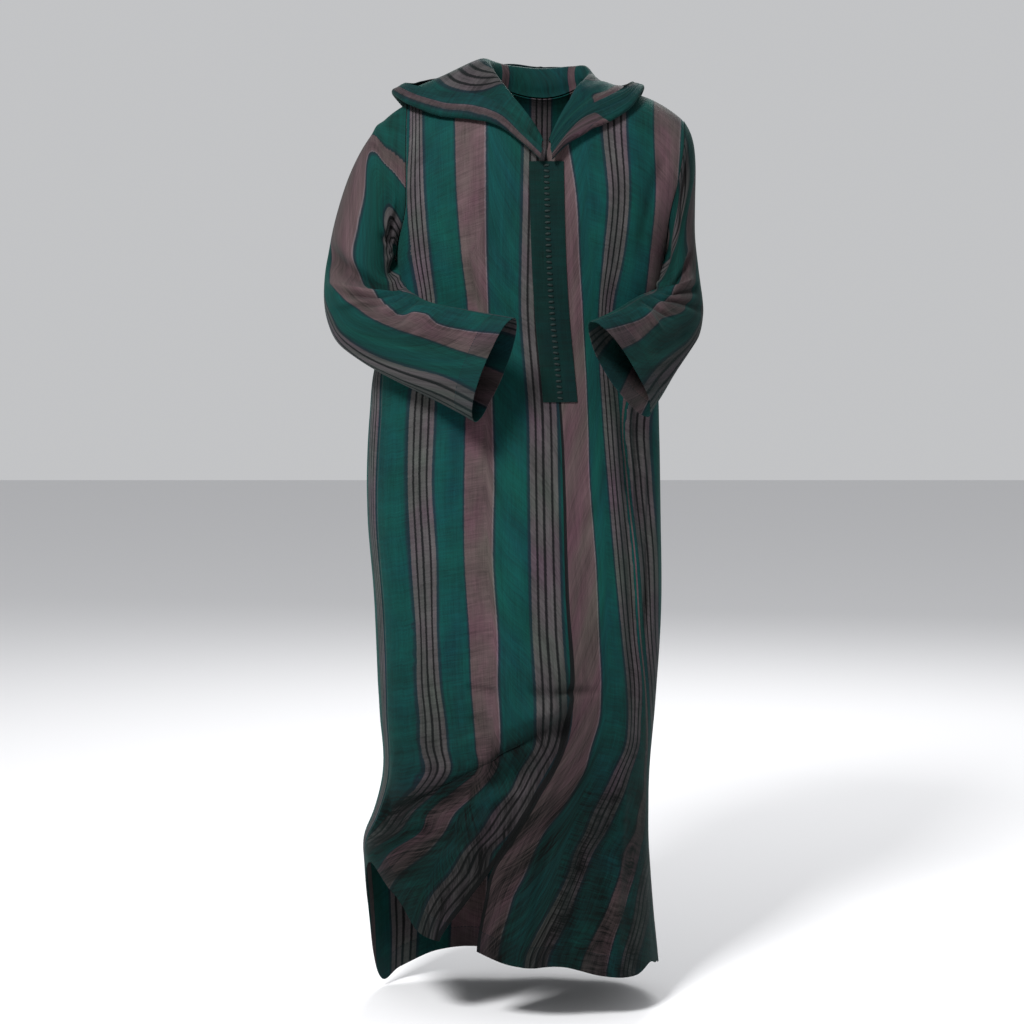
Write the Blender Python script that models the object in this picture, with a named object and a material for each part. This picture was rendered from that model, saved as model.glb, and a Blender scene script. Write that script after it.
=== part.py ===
"""Hooded striped kaftan in the form that it has when worn, built from its cut pieces.

Metres, +Z up, front towards -Y. The origin is the middle of the neck base, where the
wearer's neck and shoulders hold the garment. Right and left are the wearer's.
Each piece is a thin closed wall: its outer points come from the ring and section
functions below, and its inner points lie one wall thickness behind them.
"""

import math

import bmesh
import bpy
import numpy as np

# Cloth and seams
WALL = 0.0020
SEAM = 0.0005
ARMHOLE_SEAM = 0.0013
SIDE_REST = 0.0030
SEAM_TURN = math.radians(0.12)
BAND_WALL = 0.0015
BAND_LIFT = 0.0013

# Shoulders, neck and armholes
NECK_RIGHT = 0.084
NECK_LEFT = 0.070
V_CURVE = 0.68
NECK_HEIGHT = -0.012
NECK_SCOOP = 0.022
V_TIP_X = 0.003
V_TIP_HEIGHT = -0.136
SHOULDER_SLOPE = 0.27
SHOULDER_ROUND = 0.110
SHOULDER_BEND_X = 0.150
SHOULDER_BEND_LEFT = 4.2
ARMHOLE_TURN = -0.200
UNDERARM = -0.285
RING_POWER = 2.3
UNDERARM_CROWD = math.radians(45)
CROWDED_SECTIONS = 5
CROWN_DROP = 0.006
NORMAL_TURN = 0.008
NORMAL_STEP = 0.0015

# Placket band over the centre-front seam
PLACKET_WIDTH = 0.053
PLACKET_TOP = -0.146
PLACKET_END = -0.515

# Number of cells along and across each piece
FRONT_CELLS = (44, 13)
BACK_CELLS = (33, 17)
SLEEVE_CELLS = (24, 20)
HOOD_UNDER = 8
HOOD_TURN = 4
HOOD_OVER = 5
HOOD_CELLS = (40, HOOD_UNDER + HOOD_TURN + HOOD_OVER)
PLACKET_CELLS = (20, 4)

# Rows lie closer together where the skirt folds below the knee
ROW_PLACES = (0.0, 0.52, 0.86, 1.0)
ROW_SHARES = (0.0, 0.64, 0.86, 1.0)

# Level rings of the body: the reach to each side, to the front and to the back
# Columns: height, right, left, front, back
RINGS = (
    (-1.500, -0.277, 0.196, 0.182, 0.165),
    (-1.410, -0.279, 0.186, 0.180, 0.160),
    (-1.330, -0.283, 0.177, 0.176, 0.155),
    (-1.260, -0.287, 0.172, 0.172, 0.150),
    (-1.215, -0.287, 0.170, 0.168, 0.147),
    (-1.180, -0.273, 0.170, 0.165, 0.145),
    (-1.130, -0.260, 0.171, 0.162, 0.142),
    (-1.000, -0.265, 0.181, 0.158, 0.138),
    (-0.840, -0.271, 0.190, 0.152, 0.134),
    (-0.690, -0.280, 0.188, 0.146, 0.130),
    (-0.540, -0.275, 0.184, 0.138, 0.124),
    (-0.460, -0.266, 0.181, 0.132, 0.122),
    (-0.400, -0.242, 0.171, 0.126, 0.120),
    (-0.340, -0.229, 0.169, 0.126, 0.121),
    (-0.285, -0.230, 0.184, 0.127, 0.122),
    (-0.240, -0.238, 0.212, 0.128, 0.122),
    (-0.180, -0.250, 0.244, 0.129, 0.120),
    (-0.100, -0.256, 0.258, 0.126, 0.110),
    (0.050, -0.256, 0.258, 0.120, 0.100),
)

# Centre-front edges of the two fronts: one seam, open as a slit at the bottom
# Columns: height, edge of the right front, edge of the left front
CENTRE_FRONT = (
    (-1.420, -0.176, -0.106),
    (-1.345, -0.160, -0.103),
    (-1.290, -0.121, -0.093),
    (-1.237, -0.081, -0.080),
    (-1.194, -0.051, -0.051),
    (-1.131, -0.013, -0.013),
    (-1.060, 0.028, 0.028),
    (-0.973, 0.044, 0.044),
    (-0.819, 0.037, 0.037),
    (-0.542, 0.027, 0.027),
    (-0.350, 0.010, 0.010),
    (-0.136, 0.003, 0.003),
    (0.000, 0.003, 0.003),
)

# Armhole edges of the panels, from the underarm up to the shoulder tip
# Columns: height, x on the right, x on the left
ARMHOLES = (
    (-0.285, -0.225, 0.179),
    (-0.240, -0.217, 0.191),
    (-0.180, -0.215, 0.208),
    (-0.120, -0.215, 0.219),
    (0.000, -0.215, 0.222),
)

# Side seams below the underarm, as angles from the front
# Columns: height, right, left, in degrees
SIDE_SEAMS = (
    (-1.500, -80.0, 88.0),
    (-1.250, -80.0, 88.0),
    (-1.120, -70.0, 90.0),
    (-0.700, -66.0, 90.0),
    (-0.460, -68.0, 90.0),
    (-0.285, -90.0, 90.0),
)

# Hem height at each angle round the body, front at 0
# Columns: angle in degrees, height
HEM = (
    (-280.0, -1.416),
    (-230.0, -1.452),
    (-180.0, -1.440),
    (-150.0, -1.442),
    (-128.0, -1.460),
    (-112.0, -1.470),
    (-100.0, -1.420),
    (-90.0, -1.330),
    (-80.0, -1.262),
    (-55.0, -1.284),
    (-36.0, -1.340),
    (-14.0, -1.360),
    (4.0, -1.390),
    (14.0, -1.388),
    (34.0, -1.410),
    (54.0, -1.418),
    (72.0, -1.408),
    (80.0, -1.416),
)

# Hem heights at which the fronts meet the centre slit and the side seams
HEM_CENTRE = {-1: -1.345, 1: -1.358}
HEM_SIDE_RIGHT = -1.300
HEM_SIDE_LEFT = -1.416

# Large folds: a soft ridge or trough along a line, raised where depth is positive
# Columns: x and z of one end, x and z of the other end, depth, width
FRONT_FOLDS = (
    (-0.080, -0.970, 0.030, -0.985, 0.024, 0.075),
    (-0.225, -1.146, -0.010, -1.040, 0.016, 0.030),
    (-0.225, -1.192, -0.010, -1.082, -0.024, 0.026),
    (-0.270, -1.262, -0.110, -1.200, 0.010, 0.020),
    (0.128, -0.560, 0.140, -1.000, -0.010, 0.012),
    (0.155, -0.540, 0.162, -0.960, -0.009, 0.009),
    (-0.215, -0.640, -0.205, -1.080, -0.007, 0.018),
    (0.060, -1.120, 0.000, -1.400, 0.012, 0.028),
    (0.110, -1.140, 0.085, -1.410, -0.012, 0.024),
    (-0.080, -0.250, -0.120, -0.420, -0.005, 0.022),
    (0.120, -0.200, 0.105, -0.420, -0.006, 0.022),
    (-0.170, -0.150, -0.150, -0.330, 0.006, 0.022),
)
BACK_FOLDS = (
    (-0.190, -0.420, -0.215, -1.460, -0.012, 0.022),
    (-0.120, -0.300, -0.135, -1.460, 0.012, 0.026),
    (-0.060, -0.480, -0.060, -1.460, -0.013, 0.022),
    (0.005, -0.340, 0.010, -1.450, 0.011, 0.026),
    (0.060, -0.500, 0.075, -1.450, -0.012, 0.020),
    (0.115, -0.380, 0.135, -1.440, 0.010, 0.020),
    (-0.150, -0.200, 0.080, -0.245, -0.005, 0.020),
)

# Sleeve sections from the armhole to the cuff: the line of the shoulder, elbow and
# lower cuff edge, the line of the underarm, crook and upper cuff edge, half the depth
# Columns: x, y, z of the outer line, x, y, z of the inner line, depth, facing in degrees
SLEEVE_RIGHT = (
    (-0.250, 0.000, -0.070, -0.230, -0.001, -0.290, 0.072, 0.0),
    (-0.289, 0.004, -0.120, -0.234, -0.006, -0.297, 0.070, 0.0),
    (-0.321, 0.008, -0.198, -0.226, -0.020, -0.318, 0.064, -3.0),
    (-0.340, 0.008, -0.277, -0.218, -0.050, -0.336, 0.056, -11.0),
    (-0.346, -0.006, -0.338, -0.206, -0.094, -0.346, 0.048, -24.0),
    (-0.337, -0.034, -0.396, -0.192, -0.133, -0.354, 0.041, -32.0),
    (-0.307, -0.068, -0.435, -0.174, -0.164, -0.362, 0.036, -36.0),
    (-0.247, -0.114, -0.472, -0.147, -0.196, -0.368, 0.034, -38.0),
    (-0.172, -0.162, -0.506, -0.100, -0.224, -0.377, 0.032, -38.0),
    (-0.105, -0.208, -0.540, -0.048, -0.252, -0.386, 0.029, -38.0),
)
SLEEVE_LEFT = (
    (0.235, 0.002, -0.096, 0.188, -0.001, -0.291, 0.070, 0.0),
    (0.242, 0.006, -0.140, 0.193, -0.005, -0.300, 0.069, 0.0),
    (0.241, 0.012, -0.196, 0.184, -0.018, -0.322, 0.065, 2.0),
    (0.241, 0.018, -0.262, 0.178, -0.048, -0.338, 0.057, 10.0),
    (0.247, 0.018, -0.325, 0.168, -0.090, -0.346, 0.047, 24.0),
    (0.252, 0.002, -0.386, 0.152, -0.129, -0.352, 0.039, 40.0),
    (0.231, -0.034, -0.426, 0.136, -0.156, -0.361, 0.038, 50.0),
    (0.205, -0.084, -0.464, 0.120, -0.188, -0.371, 0.036, 53.0),
    (0.182, -0.134, -0.501, 0.096, -0.218, -0.382, 0.034, 55.0),
    (0.158, -0.182, -0.537, 0.070, -0.246, -0.391, 0.030, 55.0),
)

# Hood stations from the V tip round the wearer's right, back and left to the V tip:
# the place on the neckline, the stand at the neck, the outer fold and the free rim
# Columns: neck, stand, x, y, z of the fold, x, y, z of the rim
HOOD = (
    (0.06, 0.000, -0.007, -0.140, -0.144, -0.003, -0.143, -0.127),
    (0.30, 0.000, -0.037, -0.134, -0.117, -0.034, -0.136, -0.098),
    (0.50, 0.001, -0.072, -0.116, -0.095, -0.064, -0.112, -0.066),
    (0.68, 0.005, -0.114, -0.104, -0.085, -0.100, -0.088, -0.053),
    (0.82, 0.012, -0.162, -0.090, -0.075, -0.142, -0.070, -0.046),
    (0.93, 0.022, -0.212, -0.060, -0.055, -0.188, -0.050, -0.030),
    (1.02, 0.030, -0.238, -0.004, -0.036, -0.216, -0.004, -0.022),
    (1.14, 0.034, -0.216, 0.062, -0.060, -0.184, 0.046, -0.006),
    (1.34, 0.036, -0.168, 0.124, -0.130, -0.128, 0.084, 0.008),
    (1.64, 0.040, -0.100, 0.150, -0.240, -0.066, 0.108, 0.026),
    (1.95, 0.040, -0.022, 0.158, -0.335, -0.014, 0.118, 0.024),
    (2.30, 0.040, 0.056, 0.150, -0.240, 0.044, 0.106, 0.020),
    (2.62, 0.030, 0.112, 0.122, -0.130, 0.080, 0.082, 0.000),
    (2.86, 0.010, 0.144, 0.062, -0.072, 0.120, 0.046, -0.020),
    (3.00, 0.005, 0.152, -0.004, -0.052, 0.136, -0.004, -0.030),
    (3.12, 0.003, 0.136, -0.070, -0.072, 0.122, -0.054, -0.042),
    (3.30, 0.006, 0.106, -0.106, -0.088, 0.096, -0.090, -0.052),
    (3.50, 0.001, 0.070, -0.124, -0.101, 0.062, -0.118, -0.068),
    (3.72, 0.000, 0.036, -0.136, -0.120, 0.036, -0.137, -0.094),
    (3.94, 0.000, 0.013, -0.140, -0.144, 0.009, -0.143, -0.127),
)
HOOD_REST = 0.0040
HOOD_ROLL = 0.0060
HOOD_ROLL_LEAST = 0.0034
HOOD_PUFF = 0.0200
HOOD_STAGES = (0.0, 0.16, 0.34, 0.66, 1.0)
HOOD_FINE = 40
HOOD_RIM_FIRST = 4
HOOD_RIM_LAST = 35
HOOD_FOLD_START = 0.93

COLOURS = {
    "cloth_green": (0.008, 0.055, 0.048, 1.0),
    "band_green": (0.004, 0.022, 0.019, 1.0),
}


def columns(table):
    """The table's columns as arrays, lowest first value first."""
    rows = np.array(table, dtype=float)
    if rows[0, 0] > rows[-1, 0]:
        rows = rows[::-1]
    return rows.T


def smooth(knots, values, at):
    """A cubic curve through the values, level past both ends."""
    slopes = np.gradient(values, knots)
    at = np.clip(at, knots[0], knots[-1])
    index = np.clip(np.searchsorted(knots, at, side="right") - 1, 0, len(knots) - 2)
    step = knots[index + 1] - knots[index]
    t = (at - knots[index]) / step
    start = (1 + 2 * t) * (1 - t) ** 2 * values[index]
    end = (3 - 2 * t) * t ** 2 * values[index + 1]
    bend = t * (1 - t) * step * ((1 - t) * slopes[index] - t * slopes[index + 1])
    return start + end + bend


def ease(t):
    """A soft step from 0 to 1."""
    t = np.clip(t, 0.0, 1.0)
    return t * t * (3 - 2 * t)


def unit(vectors):
    """The vectors at length 1."""
    return vectors / np.maximum(np.linalg.norm(vectors, axis=-1, keepdims=True), 1e-9)


def ring_sizes(z):
    """Middle, half width, front reach and back reach of the body's ring at a height."""
    height, right, left, front, back = columns(RINGS)
    right_x = smooth(height, right, z)
    left_x = smooth(height, left, z)
    middle = (right_x + left_x) / 2
    return middle, (left_x - right_x) / 2, smooth(height, front, z), smooth(height, back, z)


def shoulder_height(x):
    """Height of the shoulder line: level at the neck, rounder on the wearer's left."""
    bend = SHOULDER_BEND_LEFT * np.maximum(x - SHOULDER_BEND_X, 0.0) ** 2
    past_neck = np.maximum(np.maximum(x - NECK_LEFT, -x - NECK_RIGHT), 0.0)
    return NECK_HEIGHT - SHOULDER_SLOPE * past_neck - bend


def armhole_x(side, z):
    """Where a panel's armhole edge lies at a height."""
    height, right, left = columns(ARMHOLES)
    return smooth(height, right if side < 0 else left, z)


def angle_of(x, z):
    """Angle from the front of the point of the front half ring that has this x."""
    middle, half, _, _ = ring_sizes(z)
    share = np.clip((x - middle) / half, -1.0, 1.0)
    return np.arcsin(np.sign(share) * np.abs(share) ** (RING_POWER / 2))


def fold_lift(folds, x, z):
    """How far the ridges and troughs move the cloth out at a place."""
    lift = np.zeros(np.broadcast(x, z).shape)
    for x0, z0, x1, z1, depth, width in folds:
        along_x, along_z = x1 - x0, z1 - z0
        length = math.hypot(along_x, along_z)
        share = ((x - x0) * along_x + (z - z0) * along_z) / length ** 2
        aside = ((x - x0) * along_z - (z - z0) * along_x) / length
        fade = ease((share + 0.10) / 0.25) * ease((1.10 - share) / 0.25)
        lift = lift + depth * fade * np.exp(-((aside / width) ** 2))
    return lift


def body_point(angle, z):
    """A point of the body's outer surface; the angle runs from the front, right negative."""
    middle, half, front, back = ring_sizes(z)
    sine, cosine = np.sin(angle), np.cos(angle)
    power = 2 / RING_POWER
    x = middle + half * np.sign(sine) * np.abs(sine) ** power
    depth = np.where(cosine > 0, front, back) * np.abs(cosine) ** power
    drop = np.clip((shoulder_height(x) - z) / SHOULDER_ROUND, 0.0, 1.0)
    depth = depth * np.sqrt(1 - (1 - drop) ** 2)
    facing = np.where(cosine > 0, -1.0, 1.0)
    lift = np.where(cosine > 0, fold_lift(FRONT_FOLDS, x, z), fold_lift(BACK_FOLDS, x, z))
    lift = lift * drop * np.abs(cosine) ** 0.5
    y = facing * (depth + lift + SEAM)
    return np.stack(np.broadcast_arrays(x, y, z), axis=-1)


def body_normal(angle, z):
    """Unit normal of the body's outer surface, upright along the shoulder line."""
    turn, step = NORMAL_TURN, NORMAL_STEP
    across = body_point(angle + turn, z) - body_point(angle - turn, z)
    point = body_point(angle, z)
    down = body_point(angle, z - step) - point
    normal = unit(np.cross(down, across))
    drop = shoulder_height(point[..., 0]) - point[..., 2]
    crown = (1 - ease(drop / CROWN_DROP))[..., None]
    slope = np.sign(point[..., 0]) * SHOULDER_SLOPE
    upright = unit(np.stack([slope, np.zeros_like(drop), np.ones_like(drop)], axis=-1))
    return normal * (1 - crown) + upright * crown


def armhole_angle(side, z):
    """Angle of a front's armhole edge, or of its side seam below the underarm."""
    height, right, left = columns(SIDE_SEAMS)
    seam = np.radians(smooth(height, right if side < 0 else left, z))
    cut = angle_of(armhole_x(side, z), z)
    drop = np.clip((ARMHOLE_TURN - z) / (ARMHOLE_TURN - UNDERARM), 0.0, 1.0)
    turn = 1 - np.sqrt(1 - drop ** 2)
    above = cut + (side * math.pi / 2 - cut) * turn
    return np.where(z > UNDERARM, above, seam)


def hem_height(angle):
    """Height of the hem at an angle from -280 to 80 degrees."""
    angles, heights = columns(HEM)
    return smooth(angles, heights, np.degrees(angle))


def drop_rows(top, bottom, shoulder, share):
    """Heights from the top edge to the hem, closer together over the shoulder."""
    def turn_of(drop):
        over = np.arccos(1 - np.minimum(drop, SHOULDER_ROUND) / SHOULDER_ROUND)
        return over + np.maximum(drop - SHOULDER_ROUND, 0) / SHOULDER_ROUND

    first, last = turn_of(shoulder - top), turn_of(shoulder - bottom)
    turn = first + (last - first) * share
    over = SHOULDER_ROUND * (1 - np.cos(np.minimum(turn, math.pi / 2)))
    return shoulder - over - SHOULDER_ROUND * np.maximum(turn - math.pi / 2, 0)


def neck_edge_height(x):
    """Height of a front's top edge: the V up to the neck, then the shoulder line."""
    reach = np.where(x < V_TIP_X, NECK_RIGHT + V_TIP_X, NECK_LEFT - V_TIP_X)
    share = np.clip(np.abs(x - V_TIP_X) / reach, 0.0, 1.0)
    edge = V_TIP_HEIGHT + (NECK_HEIGHT - V_TIP_HEIGHT) * share ** V_CURVE
    return np.where(share < 1, edge, shoulder_height(x))


def back_neck_height(x):
    """Height of the back's top edge: a shallow scoop, then the shoulder line."""
    share = np.clip(np.abs(x) / np.where(x < 0, NECK_RIGHT, NECK_LEFT), 0.0, 1.0)
    return np.where(share < 1, NECK_HEIGHT - NECK_SCOOP * (1 - share ** 2), shoulder_height(x))


def panel_points(angle, z):
    """Outer and inner points of a panel that lies on the body's surface."""
    outer = body_point(angle, z)
    return outer, outer - body_normal(angle, z) * WALL


def settled_top(edge_height, span, share):
    """The x of each column's top point, where the edge height and the spacing agree."""
    x = np.zeros_like(share)
    for _ in range(12):
        z = edge_height(x)
        first, last = span(z)
        x = body_point(first + (last - first) * share, z)[..., 0]
    return x


def front_grid(side):
    """Points of a front, rows from the neck to the hem, columns from the centre."""
    down, across = FRONT_CELLS
    height, right_edge, left_edge = columns(CENTRE_FRONT)
    edge = right_edge if side < 0 else left_edge
    share = np.linspace(0, 1, across + 1)[None, :]

    def span(z):
        centre = angle_of(smooth(height, edge, z), z) + side * SEAM_TURN
        return centre, armhole_angle(side, z) - side * SEAM_TURN

    top_x = settled_top(neck_edge_height, span, share)
    top = neck_edge_height(top_x)
    first = angle_of(smooth(height, edge, HEM_CENTRE[side]), HEM_CENTRE[side])
    last = armhole_angle(side, np.array(HEM_SIDE_RIGHT))
    bottom = hem_height(first + (last - first) * share)
    rows = np.interp(np.linspace(0, 1, down + 1), ROW_PLACES, ROW_SHARES)[:, None]
    z = drop_rows(top, bottom, shoulder_height(top_x), rows)
    centre, outer = span(z)
    return panel_points(centre + (outer - centre) * share, z)


def back_grid():
    """Points of the back, columns from the wearer's right to the left."""
    down, across = BACK_CELLS
    share = np.linspace(0, 1, across + 1)[None, :]

    def span(z):
        above = z > UNDERARM
        right, left = armhole_angle(-1, z), armhole_angle(1, z)
        right = np.where(above, -math.pi - right, right) - SEAM_TURN
        left = np.where(above, math.pi - left, left) + SEAM_TURN
        return right, left - 2 * math.pi

    top_x = settled_top(back_neck_height, span, share)
    top = back_neck_height(top_x)
    right_hem = armhole_angle(-1, np.array(HEM_SIDE_RIGHT))
    left_hem = armhole_angle(1, np.array(HEM_SIDE_LEFT)) - 2 * math.pi
    bottom = hem_height(right_hem + (left_hem - right_hem) * share)
    rows = np.linspace(0, 1, down + 1)[:, None]
    z = drop_rows(top, bottom, shoulder_height(top_x), rows)
    right, left = span(z)
    return panel_points(right + (left - right) * share, z)


def armhole_ring(side, turns):
    """The armhole's edge: shoulder tip at turn 0, front at a quarter, underarm at a half."""
    tip = shoulder_height(armhole_x(side, 0.0))
    z = (tip + UNDERARM) / 2 + (tip - UNDERARM) / 2 * np.cos(turns)
    angle = armhole_angle(side, np.maximum(z, UNDERARM + 1e-6))
    front = np.sin(turns) >= 0
    angle = np.where(front, angle, side * math.pi - angle)
    return body_point(angle, z) + np.array([side * ARMHOLE_SEAM, 0.0, 0.0])


def clear_of_side(points):
    """Points pushed out from the body's upright axis until they lie clear of its side."""
    x, y, z = points[..., 0], points[..., 1], points[..., 2]
    middle, half, front, back = ring_sizes(z)
    depth = np.where(y < 0, front, back) + SIDE_REST
    across = np.abs(x - middle) / (half + SIDE_REST)
    level = across ** RING_POWER + np.abs(y / depth) ** RING_POWER
    grow = np.maximum(np.maximum(level, 0.01) ** (-1 / RING_POWER), 1.0)
    return np.stack([middle + (x - middle) * grow, y * grow, z], axis=-1)


def sleeve_grid(side, table):
    """Outer points of a sleeve, rows from the armhole to the cuff, columns round it."""
    along, around = SLEEVE_CELLS
    even = np.linspace(0, 2 * math.pi, around, endpoint=False)
    rings = [armhole_ring(side, even + UNDERARM_CROWD * np.sin(even))]
    for number, row in enumerate(np.array(table), start=1):
        crowd = UNDERARM_CROWD * max(1 - (number / CROWDED_SECTIONS) ** 2, 0.0)
        turns = even + crowd * np.sin(even)
        outer, inner, depth, facing = row[0:3], row[3:6], row[6], math.radians(row[7])
        long_axis = (outer - inner) / 2
        deep_axis = np.array([math.sin(facing), -math.cos(facing), 0.0]) * depth
        ring = np.outer(np.cos(turns), long_axis) + np.outer(np.sin(turns), deep_axis)
        rings.append((outer + inner) / 2 + ring)
    rings = np.array(rings)
    knots = np.linspace(0, 1, len(rings))
    at = np.linspace(0, 1, along + 1)
    grid = np.empty((along + 1, around, 3))
    for column in range(around):
        for axis in range(3):
            grid[:, column, axis] = smooth(knots, rings[:, column, axis], at)
    for _ in range(2):
        grid[1:-1] = (grid[:-2] + 2 * grid[1:-1] + grid[2:]) / 4
    below = ease((UNDERARM + 0.010 - grid[..., 2:3]) / 0.020)
    return grid + (clear_of_side(grid) - grid) * below


def neckline_point(place):
    """The neck edge: V tip at 0, right of the neck at 1, back at 2, left at 3, V tip at 4."""
    place = np.asarray(place, dtype=float)
    right_x = V_TIP_X - (NECK_RIGHT + V_TIP_X) * np.minimum(place, 1.0)
    left_x = V_TIP_X + (NECK_LEFT - V_TIP_X) * np.minimum(4.0 - place, 1.0)
    round_back = np.cos(np.clip(place - 1.0, 0.0, 2.0) * math.pi / 2)
    back_x = -round_back * np.where(round_back > 0, NECK_RIGHT, NECK_LEFT)
    x = np.where(place <= 1.0, right_x, np.where(place >= 3.0, left_x, back_x))
    behind = (place > 1.0) & (place < 3.0)
    z = np.where(behind, back_neck_height(x), neck_edge_height(x))
    front_angle = angle_of(x, z)
    angle = np.where(behind, math.pi - front_angle, front_angle)
    return body_point(angle, z)


def body_gap(points):
    """How far points lie outside the shoulders, chest and back, and the way out there."""
    x, y, z = points[..., 0], points[..., 1], points[..., 2]
    middle, half, front, back = ring_sizes(z)
    share = np.clip(np.abs((x - middle) / half), 0.0, 0.97)
    reach = np.where(y < 0, front, back) * (1 - share ** RING_POWER) ** (1 / RING_POWER)
    rise = np.maximum(1 - (shoulder_height(x) - z) / SHOULDER_ROUND, 0.0)
    level = (y / reach) ** 2 + rise ** 2 - 1
    slope = rise * SHOULDER_SLOPE * np.sign(x) / SHOULDER_ROUND
    way = np.stack([slope, y / reach ** 2, rise / SHOULDER_ROUND], axis=-1)
    steep = np.linalg.norm(way, axis=-1)
    return level / (2 * steep), way / steep[..., None]


def clear_of_body(points, rest):
    """Points moved out from the shoulders, chest and back until they lie clear."""
    for _ in range(4):
        gap, way = body_gap(points)
        points = points + way * np.maximum(rest + SEAM - gap, 0.0)[..., None]
    return points


def along_curve(share, knots, curve):
    """Points of a curve at shares of its length."""
    return np.stack([np.interp(share, knots, curve[:, axis]) for axis in range(3)], axis=-1)


def hood_grid():
    """Outer points of the hood: rows round the neck, columns from the seam to the rim.

    A lower layer lies on the shoulders and back, turns in a round fold, and comes back
    over itself as an upper layer that ends at the free rim.
    """
    table = np.array(HOOD)
    knots = np.linspace(0, 1, len(table))
    at = np.linspace(0, 1, HOOD_CELLS[0] + 1)
    place, stand = (smooth(knots, table[:, column], at) for column in (0, 1))
    fold = np.stack([smooth(knots, table[:, column], at) for column in (2, 3, 4)], axis=-1)
    rim = np.stack([smooth(knots, table[:, column], at) for column in (5, 6, 7)], axis=-1)
    seam = neckline_point(place)
    outward = unit((fold - seam) * np.array([1.0, 1.0, 0.0]))
    up = np.array([0.0, 0.0, 1.0])
    roll = np.clip(np.linalg.norm(fold - seam, axis=1) * 0.25, HOOD_ROLL_LEAST, HOOD_ROLL)
    start = seam + up * HOOD_REST * 0.5
    top = seam + up * (stand[:, None] + HOOD_REST) + outward * HOOD_REST
    end = fold + unit(seam - fold) * roll[:, None]
    low = seam + up * (stand[:, None] * 0.7 + HOOD_REST * 0.8)
    top = top + outward * stand[:, None] * 0.25
    stages = np.stack([start, low, top, (top + end) / 2, end], axis=1)
    fine = np.linspace(0, 1, HOOD_FINE + 1)
    steps = np.array(HOOD_STAGES)
    lower = np.empty((len(at), len(fine), 3))
    for row in range(len(at)):
        for axis in range(3):
            lower[row, :, axis] = smooth(steps, stages[row, :, axis], fine)
    behind = ease(fold[:, 1] / 0.12)
    lower[:, 1:] = clear_of_body(lower[:, 1:], HOOD_REST * (1 + behind[:, None]))
    _, way = body_gap(lower)

    # Where the rim lies over the lower layer, made even from row to row
    far = np.linalg.norm(rim[:, None] - lower, axis=2)
    within = far[:, HOOD_RIM_FIRST:HOOD_RIM_LAST + 1]
    nearest = fine[np.argmin(within, axis=1) + HOOD_RIM_FIRST]
    nearest = np.convolve(np.pad(nearest, 2, mode="edge"), np.full(5, 0.2), mode="valid")

    grid = np.empty((len(at), HOOD_CELLS[1] + 1, 3))
    for row in range(len(at)):
        def lower_at(share, curve=lower[row]):
            return along_curve(share, fine, curve)

        def way_at(share, curve=way[row]):
            return unit(along_curve(share, fine, curve))

        under = lower_at(np.linspace(0, 1, HOOD_UNDER + 1))
        last, out = under[-1], way_at(1.0)
        along = last - lower_at(HOOD_FOLD_START)
        along = unit(along - out * (along @ out))
        turn = np.linspace(0, math.pi, HOOD_TURN + 1)[1:, None]
        bend = last + out * roll[row] + roll[row] * (np.sin(turn) * along - np.cos(turn) * out)
        share = np.linspace(1, nearest[row], HOOD_OVER + 1)[1:]
        apart = rim[row] - lower_at(nearest[row])
        rim_way = way_at(nearest[row])
        lift = max(apart @ rim_way, 2 * roll[row])
        aside = apart - rim_way * (apart @ rim_way)
        blend = ease((1 - share) / (1 - nearest[row]))[:, None]
        swell = np.sin(math.pi * (1 - share) / (1 - nearest[row]))[:, None]
        puff = HOOD_PUFF * behind[row] * swell
        height = 2 * roll[row] * (1 - blend) + lift * blend + puff
        over = lower_at(share) + way_at(share) * height + aside * blend
        grid[row] = np.concatenate([under, bend, over])
    return grid


def placket_grid(lift):
    """Points of the band, taken from the fronts' own surface and moved out."""
    down, across = PLACKET_CELLS
    height, right_edge, _ = columns(CENTRE_FRONT)
    z = np.linspace(PLACKET_TOP, PLACKET_END, down + 1)[:, None]
    aside = np.linspace(-0.5, 0.5, across + 1)[None, :] * PLACKET_WIDTH
    x = smooth(height, right_edge, z) + aside
    angle = angle_of(x, z)
    return body_point(angle, z) + body_normal(angle, z) * lift


def grid_normals(grid):
    """Unit normals of an open grid of points, pointing away from its inner side."""
    down = np.gradient(grid, axis=0, edge_order=2)
    across = np.gradient(grid, axis=1, edge_order=2)
    return unit(np.cross(across, down))


def wall_object(name, outer, inner, closed, colour):
    """A closed wall between two grids of points, as an object of its own."""
    rows, across = outer.shape[:2]
    mesh = bpy.data.meshes.new(name)
    shape = bmesh.new()
    sides = []
    for grid in (outer, inner):
        sides.append([[shape.verts.new(point) for point in line] for line in grid])
    front, behind = sides
    spans = range(across) if closed else range(across - 1)
    for row in range(rows - 1):
        for column in spans:
            after = (column + 1) % across
            shape.faces.new((front[row][column], front[row + 1][column],
                             front[row + 1][after], front[row][after]))
            shape.faces.new((behind[row][column], behind[row][after],
                             behind[row + 1][after], behind[row + 1][column]))
    for row in (0, rows - 1):
        for column in spans:
            after = (column + 1) % across
            shape.faces.new((front[row][column], front[row][after],
                             behind[row][after], behind[row][column]))
    if not closed:
        for column in (0, across - 1):
            for row in range(rows - 1):
                shape.faces.new((front[row][column], front[row + 1][column],
                                 behind[row + 1][column], behind[row][column]))
    bmesh.ops.recalc_face_normals(shape, faces=shape.faces)
    bmesh.ops.triangulate(shape, faces=shape.faces)
    shape.to_mesh(mesh)
    shape.free()
    mesh.shade_smooth()
    mesh.set_sharp_from_angle(angle=math.radians(50))
    piece = bpy.data.objects.new(name, mesh)
    mesh.materials.append(material(name + "_finish", colour))
    bpy.context.collection.objects.link(piece)
    return piece


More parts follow.
